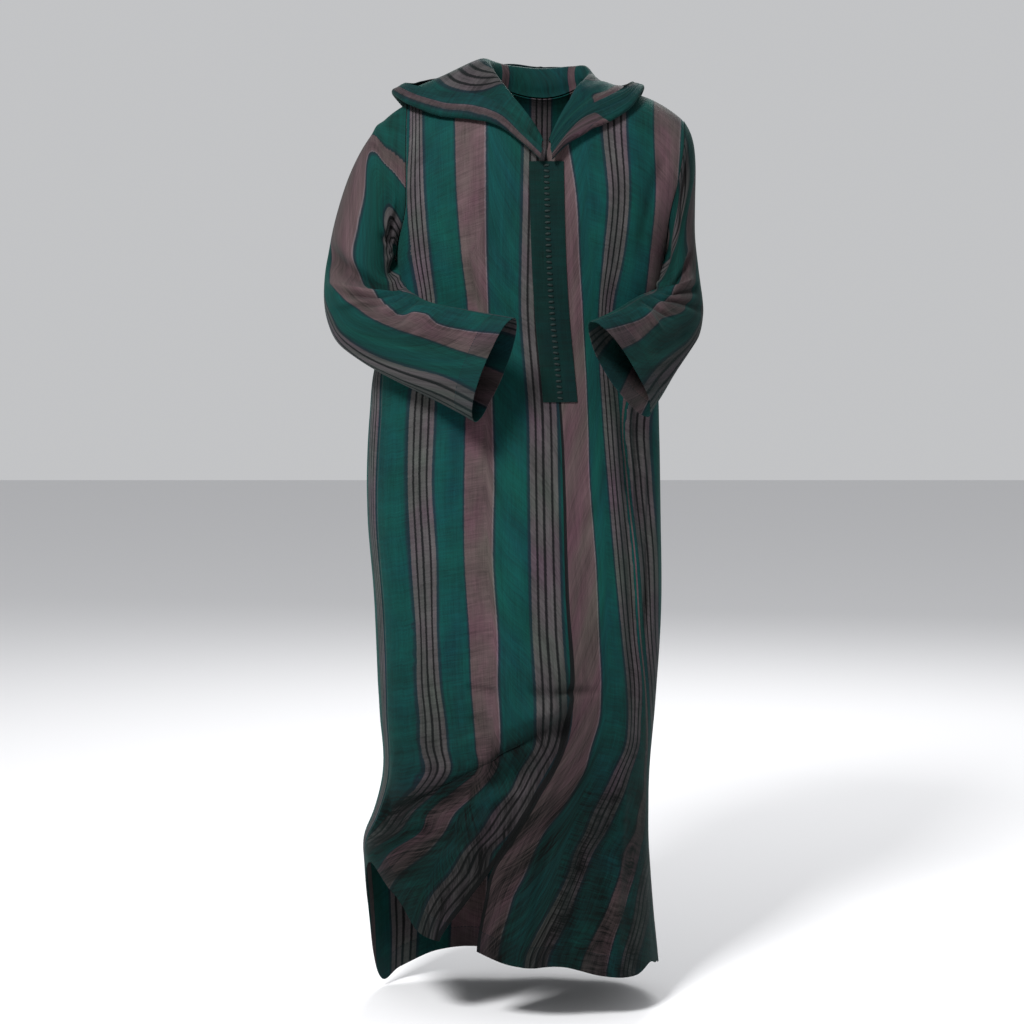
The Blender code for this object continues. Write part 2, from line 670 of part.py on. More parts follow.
def material(name, colour):
    """A matte cloth finish."""
    finish = bpy.data.materials.new(name)
    finish.use_nodes = True
    shader = finish.node_tree.nodes["Principled BSDF"]
    shader.inputs["Base Color"].default_value = COLOURS[colour]
    shader.inputs["Roughness"].default_value = 0.85
    shader.inputs["Metallic"].default_value = 0.0
    return finish


def corner_normals(grid):
    """Unit normals of a closed tube of points, from the faces round each point."""
    after = np.roll(grid, -1, axis=1)
    faces = np.cross(after[:-1] - grid[1:], after[1:] - grid[:-1])
    normals = np.zeros_like(grid)
    for around in (faces, np.roll(faces, 1, axis=1)):
        normals[:-1] += around
        normals[1:] += around
    return unit(normals)


def sleeve_wall(name, grid):
    """A sleeve's wall; its end at the armhole lies in one upright plane."""
    outward = corner_normals(grid)
    outward[0, :, 0] = 0.0
    wall_object(name, grid, grid - unit(outward) * WALL, True, "cloth_green")


def make_fronts():
    """The two fronts."""
    for name, side in (("front_right", -1), ("front_left", 1)):
        outer, inner = front_grid(side)
        wall_object(name, outer, inner, False, "cloth_green")


def make_back():
    """The back, in one piece."""
    outer, inner = back_grid()
    wall_object("back", outer, inner, False, "cloth_green")


def make_sleeves():
    """Both sleeves, closed round the arm and open at both ends."""
    sleeve_wall("sleeve_right", sleeve_grid(-1, SLEEVE_RIGHT)[:, ::-1])
    sleeve_wall("sleeve_left", sleeve_grid(1, SLEEVE_LEFT))


def make_hood():
    """The hood, worn down."""
    grid = hood_grid()
    wall_object("hood", grid, grid - grid_normals(grid) * WALL, False, "cloth_green")


def make_placket():
    """The band over the centre-front seam."""
    outer = placket_grid(BAND_LIFT + BAND_WALL)
    wall_object("placket", outer, placket_grid(BAND_LIFT), False, "band_green")


def main():
    for thing in list(bpy.data.objects):
        bpy.data.objects.remove(thing, do_unlink=True)
    make_fronts()
    make_back()
    make_sleeves()
    make_hood()
    make_placket()


main()
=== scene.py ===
"""Looks of the hooded striped kaftan: cloth shells, stripes, folds, knots and seams.

Metres, +Z up, front towards -Y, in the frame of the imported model. Right and left are as
worn. Each cloth shell follows the same rings, sections and stations as the solid that it
replaces, with finer points and the smaller folds. Stripes are woven in by a place across
the cloth, in metres, which every shell carries as an attribute.
"""

import math

import bmesh
import bpy
import numpy as np
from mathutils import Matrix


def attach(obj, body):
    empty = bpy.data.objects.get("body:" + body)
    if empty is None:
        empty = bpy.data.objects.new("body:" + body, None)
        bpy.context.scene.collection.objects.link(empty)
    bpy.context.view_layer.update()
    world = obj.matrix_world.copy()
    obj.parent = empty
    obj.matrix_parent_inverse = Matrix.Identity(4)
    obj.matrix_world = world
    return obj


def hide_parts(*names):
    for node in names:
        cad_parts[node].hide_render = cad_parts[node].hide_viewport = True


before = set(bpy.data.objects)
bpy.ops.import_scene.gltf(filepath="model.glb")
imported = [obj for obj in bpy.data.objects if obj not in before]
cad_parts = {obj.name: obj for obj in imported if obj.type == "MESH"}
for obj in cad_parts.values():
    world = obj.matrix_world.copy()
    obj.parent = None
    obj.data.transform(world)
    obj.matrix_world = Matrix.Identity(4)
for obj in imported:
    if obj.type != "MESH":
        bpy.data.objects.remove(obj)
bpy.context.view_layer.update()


def from_mm(rows, plain=0):
    """Rows of lengths in metres from rows in millimetres; the last columns may stay plain."""
    whole = len(rows[0]) - plain
    return [tuple(value / 1000 for value in row[:whole]) + row[whole:] for row in rows]


# Cloth and seams
SEAM = 0.0005
ARMHOLE_SEAM = 0.0003
SEAM_TURN = 0.0003
SEAM_DITCH = 0.0010
SEAM_DITCH_WIDTH = 0.0035
EDGE_TAPER = 0.030
SLEEVE_SEAM_TAPER = 0.012
SLIT_TOP = -1.245
SLIT_BLEND = 0.010
SIDE_REST = 0.0030
SIDE_BLEND = 0.020
CLOTH = 0.0012
BAND_HEIGHT = 0.0028
BAND_UNDER = 0.0004
BAND_EDGE = 0.0006
BAND_FLAT = 0.020
BAND_FLAT_BLEND = 0.030

# Shoulders, neck and armholes
NECK_RIGHT = 0.084
NECK_LEFT = 0.070
V_CURVE = 0.68
NECK_HEIGHT = -0.012
NECK_SCOOP = 0.022
V_TIP_X = 0.003
V_TIP_HEIGHT = -0.136
SHOULDER_SLOPE = 0.27
SHOULDER_ROUND = 0.110
SHOULDER_BEND_X = 0.150
SHOULDER_BEND_LEFT = 4.2
ARMHOLE_TURN = -0.200
UNDERARM = -0.285
RING_POWER = 2.3
UNDERARM_CROWD = math.radians(45)
CROWDED_SECTIONS = 5
CROWN_DROP = 0.006
NORMAL_TURN = 0.008
NORMAL_STEP = 0.0015

# Placket band over the centre-front seam
PLACKET_WIDTH = 0.053
PLACKET_TOP = -0.146
PLACKET_END = -0.515

# Cells along and across each piece; a sleeve is smoothed over its coarse rows first, and
# the hood has rows, then columns under the fold, round it and over it
FRONT_CELLS = (300, 96)
BACK_CELLS = (280, 150)
SLEEVE_CELLS = (150, 132)
SLEEVE_COARSE_ROWS = 24
HOOD_CELLS = (220, 30, 10, 44)
PLACKET_CELLS = (180, 16)

# Rows lie closer together where the lower skirt has its large folds
ROW_PLACES = (0.0, 0.52, 0.86, 1.0)
ROW_SHARES = (0.0, 0.64, 0.86, 1.0)

# Level rings of the body in mm: the reach to each side, to the front and to the back
# Columns: height, right, left, front, back
RINGS = from_mm((
    (-1500, -277, 196, 182, 165),
    (-1410, -279, 186, 180, 160),
    (-1330, -283, 177, 176, 155),
    (-1260, -287, 172, 172, 150),
    (-1215, -287, 170, 168, 147),
    (-1180, -273, 170, 165, 145),
    (-1130, -260, 171, 162, 142),
    (-1000, -265, 181, 158, 138),
    (-840, -271, 190, 152, 134),
    (-690, -280, 188, 146, 130),
    (-540, -275, 184, 138, 124),
    (-460, -266, 181, 132, 122),
    (-400, -244, 181, 126, 120),
    (-340, -237, 189, 126, 121),
    (-285, -233, 194, 127, 122),
    (-240, -238, 212, 128, 122),
    (-180, -250, 244, 129, 120),
    (-100, -256, 258, 126, 110),
    (50, -256, 258, 120, 100),
))

# Centre-front edges of the two fronts in mm: one seam, open as a slit at the bottom
# Columns: height, edge of the right front, edge of the left front
CENTRE_FRONT = from_mm((
    (-1420, -176, -106),
    (-1345, -160, -103),
    (-1290, -121, -93),
    (-1237, -81, -80),
    (-1194, -51, -51),
    (-1131, -13, -13),
    (-1060, 28, 28),
    (-973, 44, 44),
    (-819, 37, 37),
    (-542, 27, 27),
    (-350, 10, 10),
    (-136, 3, 3),
    (0, 3, 3),
))

# Armhole edges of the panels in mm, from the underarm up to the shoulder tip
# Columns: height, x on the right, x on the left
ARMHOLES = from_mm((
    (-285, -225, 179),
    (-240, -217, 191),
    (-180, -215, 208),
    (-120, -215, 219),
    (0, -215, 222),
))

# Side seams below the underarm, as angles from the front
# Columns: height in mm, right and left in degrees
SIDE_SEAMS = from_mm((
    (-1500, -80, 88),
    (-1250, -80, 88),
    (-1120, -70, 90),
    (-700, -66, 90),
    (-460, -68, 90),
    (-285, -90, 90),
), plain=2)

# Hem height at each angle round the body, front at 0
# Columns: angle in degrees, height in metres
HEM = (
    (-280, -1.416),
    (-230, -1.452),
    (-180, -1.44),
    (-150, -1.442),
    (-128, -1.46),
    (-112, -1.47),
    (-100, -1.42),
    (-90, -1.33),
    (-80, -1.262),
    (-55, -1.284),
    (-36, -1.34),
    (-14, -1.36),
    (4, -1.39),
    (14, -1.388),
    (34, -1.41),
    (54, -1.418),
    (72, -1.408),
    (80, -1.416),
)

# Hem heights at which the fronts meet the centre slit and the side seams
HEM_CENTRE = {-1: -1.345, 1: -1.358}
HEM_SIDE_RIGHT = -1.300
HEM_SIDE_LEFT = -1.416

# Large folds in mm: a soft ridge or trough along a line, raised where depth is positive
# Columns: x and z of one end, x and z of the other end, depth, width
FRONT_FOLDS = from_mm((
    (-80, -970, 30, -985, 24, 75),
    (-225, -1146, -10, -1040, 16, 30),
    (-225, -1192, -10, -1082, -24, 26),
    (-270, -1262, -110, -1200, 10, 20),
    (128, -560, 140, -1000, -10, 12),
    (155, -540, 162, -960, -9, 9),
    (-215, -640, -205, -1080, -7, 18),
    (60, -1120, 0, -1400, 12, 28),
    (110, -1140, 85, -1410, -12, 24),
    (-80, -250, -120, -420, -5, 22),
    (120, -200, 105, -420, -6, 22),
    (-170, -150, -150, -330, 6, 22),
))
BACK_FOLDS = from_mm((
    (-190, -420, -215, -1460, -12, 22),
    (-120, -300, -135, -1460, 12, 26),
    (-60, -480, -60, -1460, -13, 22),
    (5, -340, 10, -1450, 11, 26),
    (60, -500, 75, -1450, -12, 20),
    (115, -380, 135, -1440, 10, 20),
    (-150, -200, 80, -245, -5, 20),
))

# Sleeve sections from the armhole to the cuff: the line of the shoulder, elbow and
# lower cuff edge, the line of the underarm, crook and upper cuff edge, half the depth
# Columns: x, y, z of the outer line, x, y, z of the inner line, depth, all in mm, then
# the facing in degrees
SLEEVE_RIGHT = from_mm((
    (-250, 0, -70, -230, -1, -290, 72, 0),
    (-289, 4, -120, -234, -6, -297, 70, 0),
    (-321, 8, -198, -226, -20, -318, 64, -3),
    (-340, 8, -277, -218, -50, -336, 56, -11),
    (-346, -6, -338, -206, -94, -346, 48, -24),
    (-337, -34, -396, -192, -133, -354, 41, -32),
    (-307, -68, -435, -174, -164, -362, 36, -36),
    (-247, -114, -472, -147, -196, -368, 34, -38),
    (-172, -162, -506, -100, -224, -377, 32, -38),
    (-105, -208, -540, -48, -252, -386, 29, -38),
), plain=1)
SLEEVE_LEFT = from_mm((
    (235, 2, -96, 188, -1, -291, 70, 0),
    (242, 6, -140, 193, -5, -300, 69, 0),
    (241, 12, -196, 184, -18, -322, 65, 2),
    (241, 18, -262, 178, -48, -338, 57, 10),
    (247, 18, -325, 168, -90, -346, 47, 24),
    (252, 2, -386, 152, -129, -352, 39, 40),
    (231, -34, -426, 136, -156, -361, 38, 50),
    (205, -84, -464, 120, -188, -371, 36, 53),
    (182, -134, -501, 96, -218, -382, 34, 55),
    (158, -182, -537, 70, -246, -391, 30, 55),
), plain=1)

# Hood stations from the V tip round the right, the back and the left to the V tip:
# the place on the neckline, the stand at the neck, the outer fold and the free rim
# Columns: neck in thousandths, then in mm the stand, x, y, z of the fold and of the rim
HOOD = from_mm((
    (60, 0, -7, -140, -144, -3, -143, -127),
    (300, 0, -37, -134, -117, -34, -136, -98),
    (500, 1, -72, -116, -95, -64, -112, -66),
    (680, 5, -114, -104, -85, -100, -88, -53),
    (820, 12, -162, -90, -75, -142, -70, -46),
    (930, 22, -212, -60, -55, -188, -50, -30),
    (1020, 30, -238, -4, -36, -216, -4, -22),
    (1140, 34, -216, 62, -60, -184, 46, -6),
    (1340, 36, -168, 124, -130, -128, 84, 8),
    (1640, 40, -100, 150, -240, -66, 108, 26),
    (1950, 40, -22, 158, -335, -14, 118, 24),
    (2300, 40, 56, 150, -240, 44, 106, 20),
    (2620, 30, 112, 122, -130, 80, 82, 0),
    (2860, 10, 144, 62, -72, 120, 46, -20),
    (3000, 5, 152, -4, -52, 136, -4, -30),
    (3120, 3, 136, -70, -72, 122, -54, -42),
    (3300, 6, 106, -106, -88, 96, -90, -52),
    (3500, 1, 70, -124, -101, 62, -118, -68),
    (3720, 0, 36, -136, -120, 36, -137, -94),
    (3940, 0, 13, -140, -144, 9, -143, -127),
))
HOOD_REST = 0.0040
HOOD_ROLL = 0.0060
HOOD_ROLL_LEAST = 0.0034
HOOD_PUFF = 0.0200
HOOD_ROLL_SHARE = 0.25
HOOD_LEAN = 0.25
HOOD_START_REST = 0.5
HOOD_LOW_STAND = 0.7
HOOD_LOW_REST = 0.8
HOOD_STAGES = (0.0, 0.16, 0.34, 0.66, 1.0)
HOOD_FINE = 80
HOOD_RIM_FIRST = 8
HOOD_RIM_LAST = 70
HOOD_FOLD_START = 0.93
HOOD_BEHIND = 0.12
HOOD_SEAM_TAPER = 0.02
HOOD_OVER_TAPER = 0.08
HOOD_STRIPE_REACH = 0.4

# Stripes across the cloth: one repeat, with the mauve stripe at 0 and the group of grey
# lines half a repeat away
REPEAT = 0.187
REPEAT_START = -0.0468
WIDE_HALF = 0.023
GROUP_FROM = 0.0735
GROUP_TO = 0.1135

# Eye: the photograph's distance, height and aim
EYE = (-0.0496, -4.0, -0.4032)
AIM = (-0.0496, 0.0, -0.6944)
LENS = 88.12

# Stripe edges on the fronts as seen from the eye, on the upright plane through the neck,
# in millimetres. Columns: height, then both edges of the outer group, of the mauve
# stripe and of the inner group
STRIPES_RIGHT = from_mm((
    (-1416, -380, -345, -290, -245, -212, -170),
    (-1349, -372, -336, -317, -269, -194, -150),
    (-1315, -350, -325, -306, -253, -178, -120),
    (-1282, -345, -310, -272, -232, -150, -93),
    (-1243, -317, -278, -242, -184, -126, -80),
    (-1214, -274, -235, -198, -160, -101, -53),
    (-1181, -248, -210, -184, -141, -80, -29),
    (-1144, -208, -170, -141, -101, -50, -11),
    (-1115, -190, -150, -107, -77, -37, 5),
    (-1075, -197, -154, -107, -69, -13, 27),
    (-1030, -198, -158, -110, -69, -10, 38),
    (-979, -202, -165, -114, -72, -11, 38),
    (-899, -203, -170, -117, -72, -16, 32),
    (-771, -211, -171, -125, -80, -19, 27),
    (-643, -216, -178, -125, -78, -21, 24),
    (-547, -214, -174, -123, -80, -22, 22),
    (-355, -197, -173, -120, -88, -35, 10),
    (-291, -208, -181, -128, -90, -34, 11),
    (-195, -216, -189, -136, -91, -32, 13),
    (-83, -211, -192, -139, -91, -30, 14),
    (20, -211, -192, -139, -91, -30, 14),
))
# Columns: height, then both edges of the inner mauve stripe, of the group and of the
# outer mauve stripe, which is tucked into a fold below the sleeve
STRIPES_LEFT = from_mm((
    (-1440, -117, -72, -30, 6, 62, 104, 126, 150),
    (-1416, -117, -72, -26, 10, 69, 109, 130, 155),
    (-1382, -114, -66, -10, 27, 85, 118, 140, 165),
    (-1349, -106, -56, 8, 42, 102, 130, 148, 172),
    (-1315, -96, -46, 27, 54, 115, 139, 153, 176),
    (-1282, -83, -29, 42, 67, 126, 149, 160, 182),
    (-1243, -56, -13, 54, 83, 133, 158, 170, 190),
    (-1214, -40, 2, 69, 101, 149, 164, 176, 196),
    (-1181, -22, 27, 82, 117, 155, 166, 177, 198),
    (-1144, -5, 51, 101, 133, 163, 167, 176, 198),
    (-1115, 14, 67, 115, 142, 164, 167, 175, 197),
    (-1075, 38, 78, 133, 155, 166, 169, 176, 197),
    (-1030, 48, 91, 138, 158, 166, 169, 174, 194),
    (-979, 48, 94, 136, 160, 164, 166, 171, 192),
    (-899, 45, 91, 128, 152, 156, 158, 164, 186),
    (-771, 40, 85, 115, 144, 147, 149, 154, 184),
    (-643, 34, 75, 104, 130, 133, 135, 139, 174),
    (-547, 30, 72, 96, 123, 126, 128, 131, 170),
    (-355, 18, 62, 90, 112, 163, 190, 208, 232),
    (-291, 13, 58, 96, 126, 170, 200, 218, 242),
    (-195, 8, 53, 104, 136, 179, 211, 229, 253),
    (-83, -8, 37, 94, 131, 176, 218, 236, 260),
    (20, -8, 37, 94, 131, 176, 218, 236, 260),
))
PLACES_RIGHT = (GROUP_FROM - REPEAT, GROUP_TO - REPEAT, -WIDE_HALF, WIDE_HALF,
                GROUP_FROM, GROUP_TO)
PLACES_LEFT = (-WIDE_HALF, WIDE_HALF, GROUP_FROM, GROUP_TO, REPEAT - WIDE_HALF,
               REPEAT + WIDE_HALF, REPEAT + GROUP_FROM, REPEAT + GROUP_TO)

# Place across the cloth at the side seam of each front
SEAM_PLACE = {-1: -0.150, 1: 0.340}
SIDE_SMOOTHING = 9

# Painted shadow beside the centre seam, where the seam's fold shades the cloth: width of the dark
# strip on the right front and on the left front
SEAM_SHADOW_WIDTH = 0.0085
SEAM_SHADOW_WIDTH_LEFT = 0.0060

# Turned hem and its stitches, and how far a stripe's edge strays
HEM_DEPTH = 0.034
STITCH_WIDTH = 0.0015
STITCH_PITCH = 0.0046
STRAY = 0.0016

# Stripe place at the back panel's middle and at its side seams
BACK_MIDDLE = -0.0935
BACK_EDGE = 0.4000
BACK_EDGE_FROM = -0.330

# Stripe edges on the sleeves, as turns in degrees from the outer line through the front
# Columns: percent of the length, both edges of the lower group, of the mauve stripe and
# of the group on the inner side
SLEEVE_STRIPES_RIGHT = (
    (0, -28, 4, 48, 59, 84, 114),
    (6, -34, -2, 40, 50, 75, 108),
    (12, -45, -14, 28, 39, 66, 100),
    (17, -72, -40, 0, 24, 70, 104),
    (22, -84, -52, -8, 41, 84, 116),
    (30, -76, -44, 6, 52, 100, 132),
    (38, -66, -36, 12, 64, 122, 152),
    (44, -38, -10, 34, 88, 140, 168),
    (50, -12, 22, 63, 113, 158, 186),
    (58, 14, 44, 88, 122, 172, 204),
    (65, 16, 46, 96, 122, 178, 212),
    (71, 14, 49, 100, 122, 178, 212),
    (77, 11, 52, 102, 138, 178, 212),
    (84, 10, 58, 103, 127, 177, 211),
    (92, 9, 66, 102, 128, 176, 210),
    (100, 7, 64, 103, 134, 178, 212),
)
SLEEVE_STRIPES_LEFT = (
    (0, -135, -105, -70, -35, 25, 50),
    (10, -125, -92, -58, -22, 30, 58),
    (20, -105, -75, -35, 8, 44, 110),
    (24, -98, -68, -24, 30, 68, 130),
    (28, -90, -60, -12, 44, 100, 150),
    (34, -76, -46, 2, 52, 140, 180),
    (41, -60, -30, 16, 62, 165, 205),
    (47, -32, -2, 50, 114, 172, 210),
    (55, 0, 32, 82, 128, 176, 214),
    (64, 14, 46, 98, 139, 182, 218),
    (72, 20, 52, 116, 136, 182, 218),
    (82, 24, 68, 117, 136, 184, 220),
    (92, 26, 75, 115, 142, 190, 226),
    (100, 26, 72, 117, 146, 194, 230),
)
SLEEVE_PLACES = (-GROUP_TO, -GROUP_FROM, -WIDE_HALF, WIDE_HALF, GROUP_FROM, GROUP_TO)

# Hood stripes. Columns: neckline place in thousandths, then in mm the place at the seam,
# at the fold, height of the stripe over the fold, its half width, places halfway and at
# the rim
HOOD_STRIPES = from_mm((
    (60, -60, 0, 12, 4, 32, 40),
    (500, -60, 0, 18, 5, 36, 48),
    (700, -68, 0, 20, 5, 44, 54),
    (800, -100, 0, 20, 5, 48, 58),
    (930, -132, 0, 20, 5, 52, 62),
    (1020, -140, 0, 18, 5, 66, 66),
    (1140, -140, 4, 12, 8, 100, 74),
    (1340, -150, -20, 0, 18, 112, 80),
    (1640, -243, -140, 0, 23, 20, 115),
    (1950, -243, -250, 0, 23, -20, 115),
    (2300, -243, -150, 0, 23, 20, 115),
    (2620, -150, -20, 0, 20, 75, 110),
    (2860, -138, 26, -12, 10, 80, 108),
    (3000, -128, 34, -18, 10, 66, 90),
    (3120, -85, 34, -18, 10, 62, 72),
    (3280, -60, 30, -14, 10, 56, 64),
    (3400, -60, 6, 14, 10, 44, 56),
    (3600, -60, 0, 18, 12, 36, 50),
    (3800, -60, 0, 14, 6, 34, 44),
    (3940, -60, 0, 12, 4, 32, 40),
))

# Smaller folds in mm. Columns: x and z of both ends, bow, depth, width on each side
FRONT_CREASES = from_mm((
    (-124, -956, -70, -958, 2, -5, 6, 4),
    (-30, -958, 92, -966, 3, -7, 10, 4),
    (-160, -975, 60, -985, 8, 4, 20, 16),
    (60, -1002, -300, -1202, 8, -21, 26, 18),
    (50, -972, -280, -1136, 12, 5, 10, 20),
    (0, -1108, -250, -1200, 8, 8, 12, 14),
    (-10, -1130, -130, -1165, 6, -5, 14, 8),
    (-70, -1174, -225, -1197, 4, -8, 14, 5),
    (-210, -1194, -280, -1238, 0, -7, 12, 5),
    (118, -430, 146, -720, 3, -10, 5, 12),
    (150, -420, 158, -760, 4, -11, 7, 12),
    (168, -560, 160, -920, -4, -8, 6, 8),
    (128, -640, 142, -1060, -4, -6, 7, 10),
    (-150, -520, -160, -960, 6, 3.5, 14, 22),
    (-90, -560, -95, -930, 4, -3, 12, 18),
    (-30, -500, -35, -900, -4, 3, 12, 18),
    (85, -560, 100, -900, 4, 3.5, 10, 16),
    (20, -1080, -30, -1380, 10, 6, 10, 20),
    (75, -1150, 40, -1400, 8, -6, 8, 16),
    (130, -1090, 115, -1400, 6, 6, 10, 14),
    (-60, -1100, -140, -1300, 10, 6, 8, 18),
    (-110, -120, -120, -330, 4, 3, 10, 18),
    (-190, -130, -170, -290, 6, 3.5, 8, 12),
    (190, -130, 150, -300, 6, -5, 8, 12),
    (110, -130, 95, -330, 4, 3, 10, 18),
))
BACK_CREASES = from_mm((
    (-150, -180, -190, -420, 10, -5, 10, 18),
    (140, -190, 165, -430, -10, -5, 10, 18),
    (-100, -400, 60, -430, 20, -3, 10, 20),
    (-80, -520, 90, -500, -15, -3, 12, 20),
    (-30, -620, -40, -1300, 10, 4, 12, 24),
    (95, -560, 105, -1350, 10, 3.5, 12, 22),
    (-165, -640, -180, -1400, -10, 4, 12, 22),
    (-90, -700, -100, -1440, 6, -3.5, 10, 18),
    (35, -760, 45, -1440, -6, -3.5, 10, 18),
    (-200, -1120, -20, -1080, 12, -4, 10, 24),
    (-120, -1230, 50, -1180, 10, -3, 10, 22),
))

# Sleeve folds. Columns: degrees round and percent of the length at both ends, then bow,
# depth and both widths in mm
SLEEVE_CREASES_RIGHT = (
    (150, 10, 168, 44, 0, 6, 16, 16),
    (-150, 12, -168, 40, 0, 4, 16, 16),
    (58, 2, 12, 17, 4, -5, 6, 10),
    (62, 5, 78, 20, 3, 5, 5, 4),
    (74, 3, 90, 17, -3, -5, 4, 5),
    (84, 4, 104, 22, 4, 5, 4, 6),
    (70, 12, 110, 16, 3, -4, 4, 4),
    (66, 20, 104, 24, 3, 4, 4, 6),
    (50, 2, -5, 15, 4, 4, 8, 10),
    (100, 3, 78, 26, 6, -6, 6, 10),
    (118, 5, 100, 32, 6, 5, 7, 10),
    (135, 6, 118, 36, 6, -5.5, 6, 10),
    (150, 8, 136, 40, 6, 4.5, 7, 10),
    (165, 44, 10, 39.5, 8, -14, 15, 17),
    (145, 50, 35, 47.5, 4, 6, 8, 7),
    (160, 50, 60, 51.5, 8, -6, 6, 10),
    (160, 56, 50, 57, 6, -5.5, 6, 14),
    (165, 62, 105, 68, 6, -6, 6, 14),
    (150, 70, 100, 78, 6, 6, 10, 12),
    (30, 40, 90, 60, 6, 4, 10, 16),
    (60, 66, 100, 92, 4, -4, 8, 12),
    (20, 62, 40, 94, 4, 3.5, 10, 14),
    (-60, 10, -90, 34, 6, -5, 10, 14),
    (-150, 36, -50, 46, 10, -6, 8, 14),
    (-160, 50, -50, 56, 8, -6, 8, 14),
    (-60, 62, -80, 92, 4, 3.5, 10, 14),
    (-120, 66, -130, 94, 4, -3.5, 10, 14),
)
SLEEVE_CREASES_LEFT = (
    (150, 10, 168, 44, 0, 6, 16, 16),
    (-150, 12, -168, 40, 0, 4, 16, 16),
    (25, 5, 70, 24, 4, -5.5, 6, 10),
    (50, 4, 95, 28, 4, 5, 7, 10),
    (75, 3, 120, 30, 4, -6, 6, 10),
    (100, 5, 145, 34, 4, 4.5, 7, 10),
    (150, 44, 40, 40, 8, -8, 10, 12),
    (150, 50, 50, 50.5, 8, -7.5, 6, 12),
    (150, 46, 60, 47, 6, 5, 6, 8),
    (165, 57, 30, 57, 6, -6, 6, 14),
    (165, 64, 100, 70, 6, -5.5, 6, 14),
    (150, 72, 105, 80, 6, 4.5, 10, 12),
    (60, 66, 90, 92, 4, -4, 8, 12),
    (20, 62, 45, 94, 4, 3.5, 10, 14),
    (-60, 10, -90, 34, 6, -5, 10, 14),
    (-150, 36, -50, 46, 10, -6, 8, 14),
    (-160, 50, -50, 56, 8, -6, 8, 14),
    (-120, 66, -130, 94, 4, -3.5, 10, 14),
)
SLEEVE_RADIUS = 0.060
SLEEVE_LENGTH = 0.620

# Wrinkles left to chance, from fixed seeds: cells across and down, depth, seed
WRINKLES = (
    (0.06, 0.42, 0.003, 11),
    (0.034, 0.15, 0.0013, 12),
    (0.016, 0.04, 0.0004, 13),
)
LATTICE = 61
FRONT_OFFSET = 0.0
BACK_OFFSET = 3.0
HOOD_OFFSET = 5.0
SLEEVE_OFFSET = 7.0
SLEEVE_WRINKLES = 1.2

# Wrinkles are slight over the shoulders and grow down the skirt
LOOSENESS_LEAST = 0.25
LOOSENESS_FROM = -0.12
LOOSENESS_REACH = 0.5

# Painted shade in the colour: change per metre of lift in folds, painted shade down in a fold and
# painted highlight on a ridge, least and most there, painted shade on the hood and the sleeves,
# and painted shade darker down the fronts
PAINTED_FOLD_SHADE = 38.0
PAINTED_FOLD_SHADE_LEAST = 0.18
PAINTED_FOLD_SHADE_MOST = 1.25
HOOD_PAINTED_SHADE = 0.66
SLEEVE_PAINTED_SHADE = {-1: 0.80, 1: 0.62}
HEIGHT_PAINTED_SHADE = (
    (-1.480, 0.28),
    (-1.300, 0.29),
    (-1.150, 0.30),
    (-1.040, 0.64),
    (-0.900, 0.90),
    (-0.500, 1.00),
    (0.100, 1.00),
)

# Knots down the placket
KNOT_PITCH = 0.0087
KNOT_FIRST = -0.152
KNOT_HALF_WIDTH = 0.0046
KNOT_HALF_HEIGHT = 0.0020
KNOT_DEPTH = 0.0013
KNOT_OUT = 0.0006
KNOT_LEAN = 0.10
KNOT_CELLS = (14, 8)
KNOT_LAST = 0.006
KNOT_TAPER = 0.7
KNOT_WRAP = 0.16
KNOT_WRAP_TURNS = (3, 5)

# Colours, linear
GREEN = (0.0010, 0.0262, 0.0240)
SLATE = (0.0040, 0.0120, 0.0160)
MAUVE = (0.0520, 0.0340, 0.0360)
MAUVE_EDGE = (0.0680, 0.0540, 0.0580)
GREY = (0.0430, 0.0385, 0.0400)
BLACK = (0.0045, 0.0042, 0.0048)
BAND = (0.0004, 0.0086, 0.0078)
KNOT = (0.0030, 0.0150, 0.0130)

# One repeat of the stripes: start and end from the mauve stripe's middle, colour
BANDS = (
    (REPEAT_START, -0.0275, GREEN),
    (-0.0248, -0.0240, SLATE),
    (-0.0231, 0.0206, MAUVE),
    (0.0210, 0.0222, MAUVE_EDGE),
    (0.0234, 0.0244, SLATE),
    (0.0275, 0.0680, GREEN),
    (0.0708, 0.0730, SLATE),
    (0.0738, 0.0803, GREY),
    (0.0812, 0.0836, BLACK),
    (0.0845, 0.0905, GREY),
    (0.0914, 0.0944, BLACK),
    (0.0953, 0.1028, GREY),
    (0.1036, 0.1062, BLACK),
    (0.1070, 0.1130, GREY),
    (0.1140, 0.1162, SLATE),
    (0.1195, REPEAT_START + REPEAT, GREEN),
)

# Uneven tint of the cloth: share of the noise, colour
TINTS = ((0.15, (1.12, 0.84, 1.05)), (0.50, (1.0, 1.0, 1.0)), (0.85, (0.88, 1.10, 0.94)))
TINT_GRAIN = (15.0, 9.0, 11.0, 3.0)
TINT_SPREAD = 1.6

# Grain of the cloth: fineness across and down, seed, detail of the noise, share in the tone
GRAIN = {
    "weft": (30.0, 560.0, 1.0, 2.0, 0.75),
    "warp": (620.0, 24.0, 3.0, 2.0, 0.60),
    "slubs": (17.0, 170.0, 5.0, 2.0, 0.60),
    "bands": (170.0, 5.0, 7.0, 2.0, 0.45),
    "painted_shade_and_dye": (24.0, 17.0, 9.0, 4.0, 1.10),
}
SLUB_HEIGHT = 0.8
GRAIN_HEIGHT = 0.0010
ROUGHNESS = 0.82
ROUGHNESS_SPREAD = 0.30
SHEEN = {"Sheen Weight": 0.05, "Sheen Roughness": 0.5, "Sheen Tint": (0.25, 0.60, 0.55, 1.0),
         "Specular IOR Level": 0.08}

# How strongly the painted shade of the turned hem, where less light shines through two layers,
# its stitches and the pale side seam show
HEM_PAINTED_SHADE = 0.22
STITCH_SHADE = 0.8
SEAM_SHADE = 0.7
SEAM_WIDTH = 0.0010

